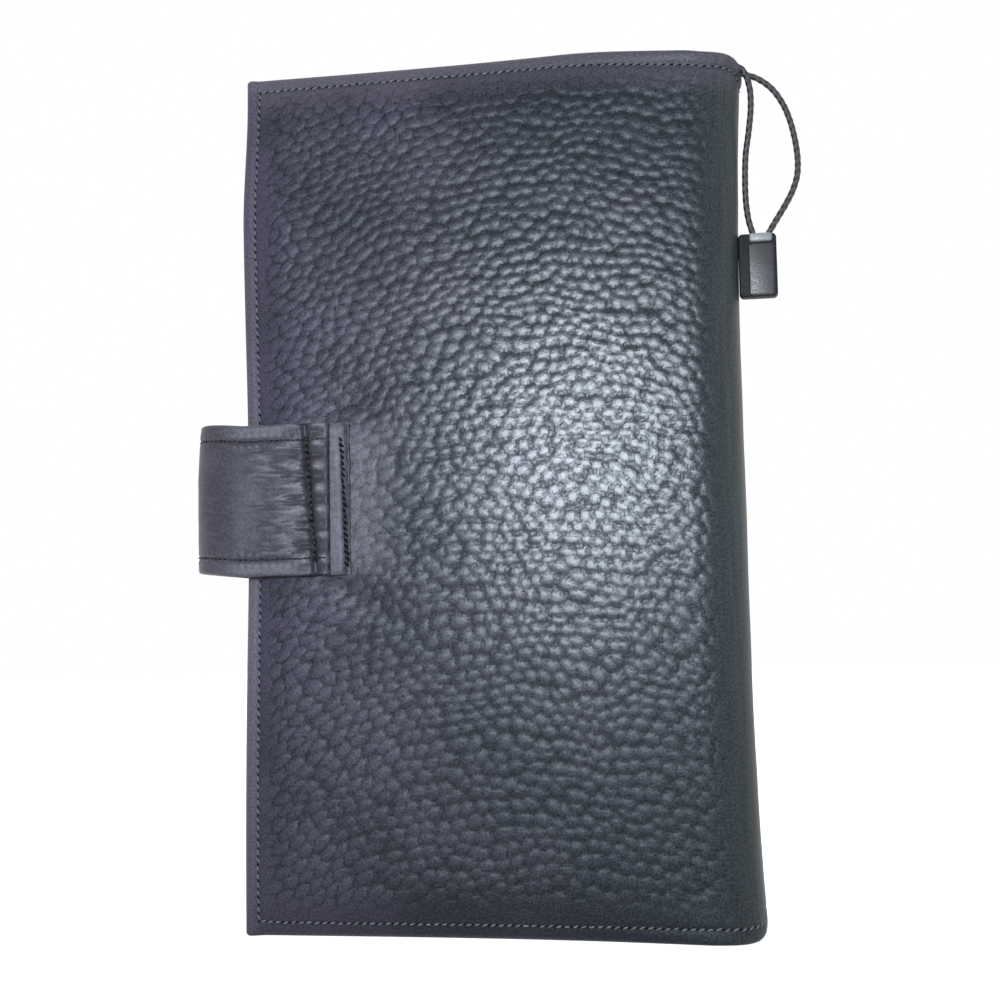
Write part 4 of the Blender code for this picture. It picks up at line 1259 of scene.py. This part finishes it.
def makeWindow():
    # a leather frame with rounded corners, and a clear film behind it
    low, high = inside["window"]
    left, right = pocketSpan
    rim = inside["windowBorder"]
    y = inside["pocketLip"] + inside["pocket"] / 2
    shape = bmesh.new()
    flat = shape.verts.layers.float_vector.new("flat")
    outer = roundedLoop(shape, (left, low), (right, high), 1.5, y)
    inner = roundedLoop(shape, (left + rim, low + rim), (right - rim, high - rim), 3.0, y)
    ring = bmesh.ops.bridge_loops(shape, edges=outer + inner)["faces"]
    bmesh.ops.translate(shape, verts=extrudeFaces(shape, ring)[1], vec=(0, inside["pocket"], 0))
    bmesh.ops.recalc_face_normals(shape, faces=shape.faces)
    rims = [edge for edge in shape.edges if edge.calc_face_angle(0) > 1]
    bevelEdges(shape, rims, 0.15, 2)
    for vert in shape.verts:
        vert[flat] = (vert.co.x, vert.co.z, 0)
    item = makeShape("window_frame", shape, [panelLeather])
    finishPiece(item, ("id_window_frame",), "front")

    edge = rim - 4
    start = y + inside["pocket"] + 0.3

    def place(u, v, w):
        x, z = mix(left + edge, right - edge, u), mix(low + edge, high - edge, v)
        return (x, start + inside["film"] * w, z), (x, z)

    finishPiece(makeSheet("film", (4, 4), 1, place, [film]), ("id_window_film",), "front")
    shape = bmesh.new()
    reach = rim - 1.5
    corners = [(left + reach, low + reach), (right - reach, low + reach), (right - reach, high - reach)]
    corners += [(left + reach, high - reach), (left + reach, low + reach)]
    sewSeam(shape, lambda x, z: Vector((x, y, z)), dense(corners), 1, pitch=2.2, hole=0.22)
    finishPiece(makeShape("window_stitches", shape, [thread, needleHole]), (), "front")


print("inside")
for side in (back, front):
    makeLining(side)
    makePanel(side)
makePockets(back, inside["backLips"])
makePocket("slip_leather", back, *inside["slip"], "slip_pocket_back")
makePockets(front, inside["frontLips"])
makeWindow()

# zip

zipper = {
    "tape": 0.5,  # thickness
    "tapeAcross": 18.0,
    "low": 10.0,
    "high": 182.5,
    "path": ((-8, 3.55), (-4, 3.65), (-0.15, 5.15), (2.85, 5.55), (3.85, 4.15), (3.85, 0.9)),
    "split": 0.42,  # half the running gap between the teeth
    "chain": (1.85, 3.3),  # from and to, along x
    "chainHalf": 2.75,
    "chainLow": 19.0,
    "chainHigh": 178.5,
    "pitch": 1.5,
    "tooth": 0.85,
    "stop": 2.0,
    "sliderLow": 169.5,
    "sliderHigh": 178.5,
    "plate": 1.2,
    "frontPlate": 0.3,
    "rearPlate": 4.4,
    "wall": 0.9,
    "half": 4.0,
    "rearHalf": 3.0,
    "bridgeAt": -2.5,
    "bridge": 0.8,
    "bridgeHalf": 1.0,
    "bridgeLength": 7.0,
}


def makeTape(side):
    def place(u, v, w):
        path = [(*point, 0) for point in zipper["path"]]
        here = smoothCurve(path, u)
        along = smoothCurve(path, min(u + 0.01, 1)) - smoothCurve(path, max(u - 0.01, 0))
        across = Vector((along.y, -along.x, 0)).normalized()
        x, y, _ = here + across * zipper["tape"] * (w - 0.5)
        z = mix(zipper["low"], zipper["high"], v)
        return (x, side * y, z), (u * zipper["tapeAcross"], z - zipper["low"])

    item = makeSheet("tape_cloth_" + tags[side], (20, 40), 2, place, [tapeCloth])
    sewn = toFrame((zipper["path"][0][0] + 2, side * zipper["path"][0][1], height / 2))
    free = toFrame((zipper["chain"][1], side * zipper["path"][0][1], height / 2))
    bend = ("back", "spine", sewn, free) if side == back else ("spine", "front", free, sewn)
    return finishPiece(item, ("zip_tape_" + tags[side],), bend=bend)


def makeTeeth(side):
    # turns of a nylon coil, one each pitch, the two sides half a pitch apart
    shape = bmesh.new()
    near, far = zipper["chain"]
    start = zipper["chainLow"] + 0.1 + (zipper["pitch"] / 2 if side == front else 0)
    count = int((zipper["chainHigh"] - start - zipper["tooth"]) / zipper["pitch"]) + 1
    for index in range(count):
        z = start + index * zipper["pitch"]
        ys = sorted((side * zipper["split"], side * zipper["chainHalf"]))
        addBlock(shape, (near, ys[0], z), (far, ys[1], z + zipper["tooth"]), 0.22, 1)
    ys = sorted((side * 1.9, side * 2.45))
    addBlock(shape, (near + 0.35, ys[0], start), (far - 0.3, ys[1], zipper["chainHigh"] - 0.1), 0.15, 1)
    item = makeShape("teeth_" + tags[side], shape, [coilNylon])
    return finishPiece(item, ("zip_chain_" + tags[side],), "spine")


def makeSlider():
    # a cast body: two shaped plates, side walls, a neck that parts the teeth, and a bridge for the cord
    shape = bmesh.new()
    low, high = zipper["sliderLow"], zipper["sliderHigh"]
    face, rear = zipper["frontPlate"], zipper["rearPlate"]
    inner = face + zipper["plate"]
    for near, half in ((face, zipper["half"]), (rear, zipper["rearHalf"])):
        addBlock(shape, (near, -half, low), (near + zipper["plate"], half, high), 0.35, 3)
    for side in (back, front):
        ys = sorted((side * (zipper["half"] - zipper["wall"]), side * zipper["half"]))
        addBlock(shape, (face + 0.3, ys[0], low + 0.1), (3.3, ys[1], high - 0.1), 0.25, 2)
    addBlock(shape, (inner - 0.3, -0.3, high - 4), (rear + 0.3, 0.3, high - 1), 0.1, 1)
    for vert in shape.verts:
        # the plates narrow towards the foot
        vert.co.y *= mix(0.86, 1.0, between(vert.co.z, low, low + 5)) if abs(vert.co.y) > 1 else 1.0
    centre = (low + high) / 2
    foot = inner - 0.6  # the bridge's feet are sunk in the plate
    square = 0.55  # gives the bridge steep ends and a flat back
    half = zipper["bridgeLength"] / 2 - zipper["bridge"] / 2
    made = bmesh.ops.create_grid(shape, x_segments=16, y_segments=1, size=0.5)
    arch = list({face for vert in made["verts"] for face in vert.link_faces})
    for verts, lift in ((made["verts"], -0.5), (extrudeFaces(shape, arch)[1], 0.5)):
        for vert in verts:
            turn, y = math.pi * (vert.co.x + 0.5), vert.co.y * 2 * zipper["bridgeHalf"]
            reach = foot - zipper["bridgeAt"] + (lift - 0.5) * zipper["bridge"]
            share = math.copysign(abs(math.cos(turn)) ** square, math.cos(turn))
            along = (half + lift * zipper["bridge"]) * share
            vert.co = (foot - reach * max(math.sin(turn), 0.0) ** square, y, centre + along)
    bmesh.ops.recalc_face_normals(shape, faces=shape.faces)
    item = makeShape("slider", shape, [zipMetal])
    return finishPiece(item, ("zip_slider",), "slider")


def makeStops():
    near, far = zipper["chain"]
    half, long = zipper["chainHalf"], zipper["stop"]
    for tag, low in (("top", zipper["chainHigh"] + 0.3), ("bottom", zipper["chainLow"] - 0.3 - long)):
        shape = bmesh.new()
        addBlock(shape, (near, -half, low), (far, half, low + long), 0.4, 3)
        item = makeShape(tag + "_stop", shape, [zipMetal])
        finishPiece(item, (f"zip_{tag}_stop",), "spine")


print("zip")
for side in (back, front):
    makeTape(side)
    makeTeeth(side)
makeSlider()
makeStops()

# cord pull

cord = {
    "radius": 0.7,
    "lobes": 2,
    "lobe": 0.16,  # share of the radius between the plies
    "twist": 3.4,  # length of a full turn
    "steps": 460,
    "around": 14,
    "start": (14.55, 0, 149.4),
    "bendStart": (9, 0, 187),
    "bendEnd": (13, 0, 186),
}
end, top, line = cord["start"][2], 190.0, 174.0  # up to the moulded end, the spine's top and the bridge
inner = [
    cord["start"], (13.7, -0.6, end + 3.2), (13.3, -1.2, end + 7.2), (13.3, -1.6, end + 12.0),
    (13.6, -2.0, end + 17.0), (14.4, -2.4, end + 22.0), (15.0, -2.7, end + 27.0), (14.9, -3.0, end + 31.5),
    (13.6, -3.0, top - 5.2), (10.6, -3.0, top - 3.5),
]
over = [
    (6.5, 3, top - 3.1), (1.7, 3, top - 4.5), (-0.4, 3, top - 8.0), (-0.7, 3, line + 3.5),
    (-0.7, 2.1, line + 0.9),
]
outer = [
    (10.5, 3, top - 3.3), (14.0, 3, top - 4.1), (17.0, 2.8, top - 5.5), (19.8, 2.6, end + 32.6),
    (21.9, 2.4, end + 29.2), (23.2, 2.1, end + 25.7), (24.0, 1.9, end + 22.3), (24.5, 1.7, end + 19.0),
    (24.7, 1.5, end + 15.6), (24.4, 1.2, end + 12.4), (23.3, 0.9, end + 9.1), (21.6, 0.5, end + 5.9),
    (19.6, 0.2, end + 2.7), (17.95, 0, end),
]
route = [*inner, *((x, -y, z) for x, y, z in over), (-0.7, 0, line), *over[::-1], *outer]


def makeCord(pullEnd):
    steps = cord["steps"]
    points = [smoothCurve(route, index / steps) for index in range(steps + 1)]
    shape = bmesh.new()
    ply = shape.verts.layers.float.new("ply")
    bmesh.ops.create_grid(shape, x_segments=steps, y_segments=cord["around"], size=0.5)
    side, length, rings = Vector((0, 1, 0)), 0.0, []
    for index, point in enumerate(points):
        last = points[max(index - 1, 0)]
        ahead = (points[min(index + 1, steps)] - last).normalized()
        side = (side - ahead * side.dot(ahead)).normalized()
        length += (point - last).length
        rings.append((point, side.copy(), ahead.cross(side), length))
    for vert in shape.verts:
        point, aside, up, run = rings[round((vert.co.x + 0.5) * steps)]
        turn = math.tau * (vert.co.y + 0.5)
        lobe = abs(math.cos((turn - math.tau * run / cord["twist"]) * cord["lobes"] / 2))
        reach = cord["radius"] * (1 - cord["lobe"] + cord["lobe"] * lobe)
        vert.co = point + (aside * math.cos(turn) + up * math.sin(turn)) * reach
        # 1 on a ply's crest and 0 between plies; the yarn's colour paints highlight and shade from it
        vert[ply] = lobe
    bmesh.ops.remove_doubles(shape, verts=shape.verts, dist=0.0005)
    bmesh.ops.holes_fill(shape, edges=[edge for edge in shape.edges if edge.is_boundary])
    bmesh.ops.recalc_face_normals(shape, faces=shape.faces)
    item = makeShape("cord", shape, [cordYarn], sharp=80)
    # bodies and points for the cord: its inner end over the zip, the rest by the moulded end
    bend = [toFrame(Vector(cord[place])) for place in ("bendStart", "bendEnd")]
    finishPiece(item, ("pull_cord",), bend=("spine", "pull", *bend))
    path = [tuple(toFrame(point)) for point in points]


pull = {
    "low": (11.3, 135.3),
    "high": (19.5, 149.1),
    "half": 2.3,
    "setBack": 0.65,  # of the dark body behind the face
    "strip": 2.15,  # of the body seen on the spine's side
    "border": 0.55,
    "collar": 1.9,
}


def makePullEnd():
    # the dark body, its paler faces and the paler rims that grip the cord
    (left, low), (right, high) = pull["low"], pull["high"]
    body, face, rim = pull["half"] - pull["setBack"], pull["half"] - 0.2, pull["half"]
    shape = bmesh.new()
    addPad(shape, (left, low), (right, high), 1.0, (-body, body), 0.4, 0)
    neck = high - pull["collar"]
    faceLeft, faceRight = left + pull["strip"], right - pull["border"]
    addPad(shape, (faceLeft, low + 0.25), (faceRight, neck - 0.3), 0.7, (-face, face), 0.3, 1)
    addPad(shape, (faceLeft + 0.3, neck), (faceRight - 0.3, high), 0.6, (-rim, rim), 0.45, 2)
    bmesh.ops.recalc_face_normals(shape, faces=shape.faces)
    item = makeShape("pull_body", shape, [pullPlastic, pullFace, pullCollar])
    return finishPiece(item, ("pull_end",), "pull")


print("cord pull")
makeCord(makePullEnd())

keptNodes = {"snap_rivet": snapMetal, "board_back": board, "board_spine": board, "board_front": board}
for node, material in keptNodes.items():
    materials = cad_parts[node].data.materials
    materials.clear()
    materials.append(material)

# camera, light and floor

view = {
    "target": (-43.85, 0.0, 95.0),
    "azimuth": 9.64,
    "elevation": -5.11,
    "roll": -1.06,
    "distance": 358.0,
    "lens": 58.7,
    "shift": (0.0083, -0.007),
}
key = {
    "place": (-101, -605, 158),
    "target": (-22, -10, 106),
    "size": (80, 80),
    "power": 3.2,
    "colour": "#f4f8ff",
}
sky = {"above": 0.95, "level": 0.25}
floorShade = {"lit": "#949494", "seen": "#d9d9d9", "glow": 0.85}


def makeCamera():
    azimuth, elevation, roll = (math.radians(view[name]) for name in ("azimuth", "elevation", "roll"))
    ahead = Vector((-math.sin(azimuth), math.cos(azimuth), 0)) * math.cos(elevation)
    ahead.z = -math.sin(elevation)
    right = Vector((math.cos(azimuth), math.sin(azimuth), 0))
    turn = Matrix((right, right.cross(ahead), -ahead)).transposed() @ Matrix.Rotation(roll, 3, "Z")
    data = bpy.data.cameras.new("camera")
    data.lens = view["lens"]
    data.sensor_width = 36
    data.shift_x, data.shift_y = view["shift"]
    data.clip_start = 0.01
    camera = bpy.data.objects.new("camera", data)
    place = toFrame(Vector(view["target"]) - ahead * view["distance"])
    camera.matrix_world = Matrix.Translation(place) @ turn.to_4x4()
    bpy.context.scene.collection.objects.link(camera)
    bpy.context.scene.camera = camera


def makeKey():
    data = bpy.data.lights.new("softbox", "AREA")
    data.shape = "RECTANGLE"
    data.size, data.size_y = (value * mm for value in key["size"])
    data.energy = key["power"]
    data.color = hexColour(key["colour"])[:3]
    lamp = bpy.data.objects.new("softbox", data)
    lamp.location = toFrame(key["place"])
    lamp.rotation_euler = (toFrame(key["target"]) - lamp.location).to_track_quat("-Z", "Y").to_euler()
    bpy.context.scene.collection.objects.link(lamp)


def whiteToCamera(tree):
    # 1 for what the camera, mirrors and glass see, which is plain white
    seen = addNode(tree, "LightPath", {}, "Is Camera Ray")
    for name in ("Is Glossy Ray", "Is Transmission Ray"):
        seen = addNode(tree, "Math", {0: seen, 1: addNode(tree, "LightPath", {}, name)}, operation="MAXIMUM")
    return seen


def makeStage():
    shape = bmesh.new()
    bmesh.ops.create_grid(shape, x_segments=2, y_segments=2, size=3000)
    material, tree, shader = newMaterial("pale floor")
    seen = whiteToCamera(tree)
    lit = {0: seen, 6: hexColour(floorShade["lit"]), 7: hexColour(floorShade["seen"])}
    connect(tree, shader, {
        "Base Color": addNode(tree, "Mix", lit, 2, data_type="RGBA"),
        "Roughness": 0.9,
        "Emission Color": (1, 1, 1, 1),
        "Emission Strength": addNode(tree, "Math", {0: seen, 1: floorShade["glow"]}, operation="MULTIPLY"),
    })
    makeShape("floor", shape, [material])
    world = bpy.data.worlds.new("studio")
    bpy.context.scene.world = world
    world.use_nodes = True
    tree = world.node_tree
    towards = addNode(tree, "TexCoord", {}, "Object")
    up = addNode(tree, "SeparateXYZ", {0: towards}, 2)
    shade = addNode(tree, "MapRange", {0: up, 1: 1.0, 2: -0.3, 3: sky["above"], 4: sky["level"]})
    strength = {0: whiteToCamera(tree), 3: shade, 4: 1.0}
    connect(tree, tree.nodes["Background"], {
        "Color": (1, 1, 1, 1),
        "Strength": addNode(tree, "MapRange", strength),
    })


print("camera, light and floor")
makeCamera()
makeKey()
makeStage()
bpy.context.scene.view_settings.view_transform = "Standard"
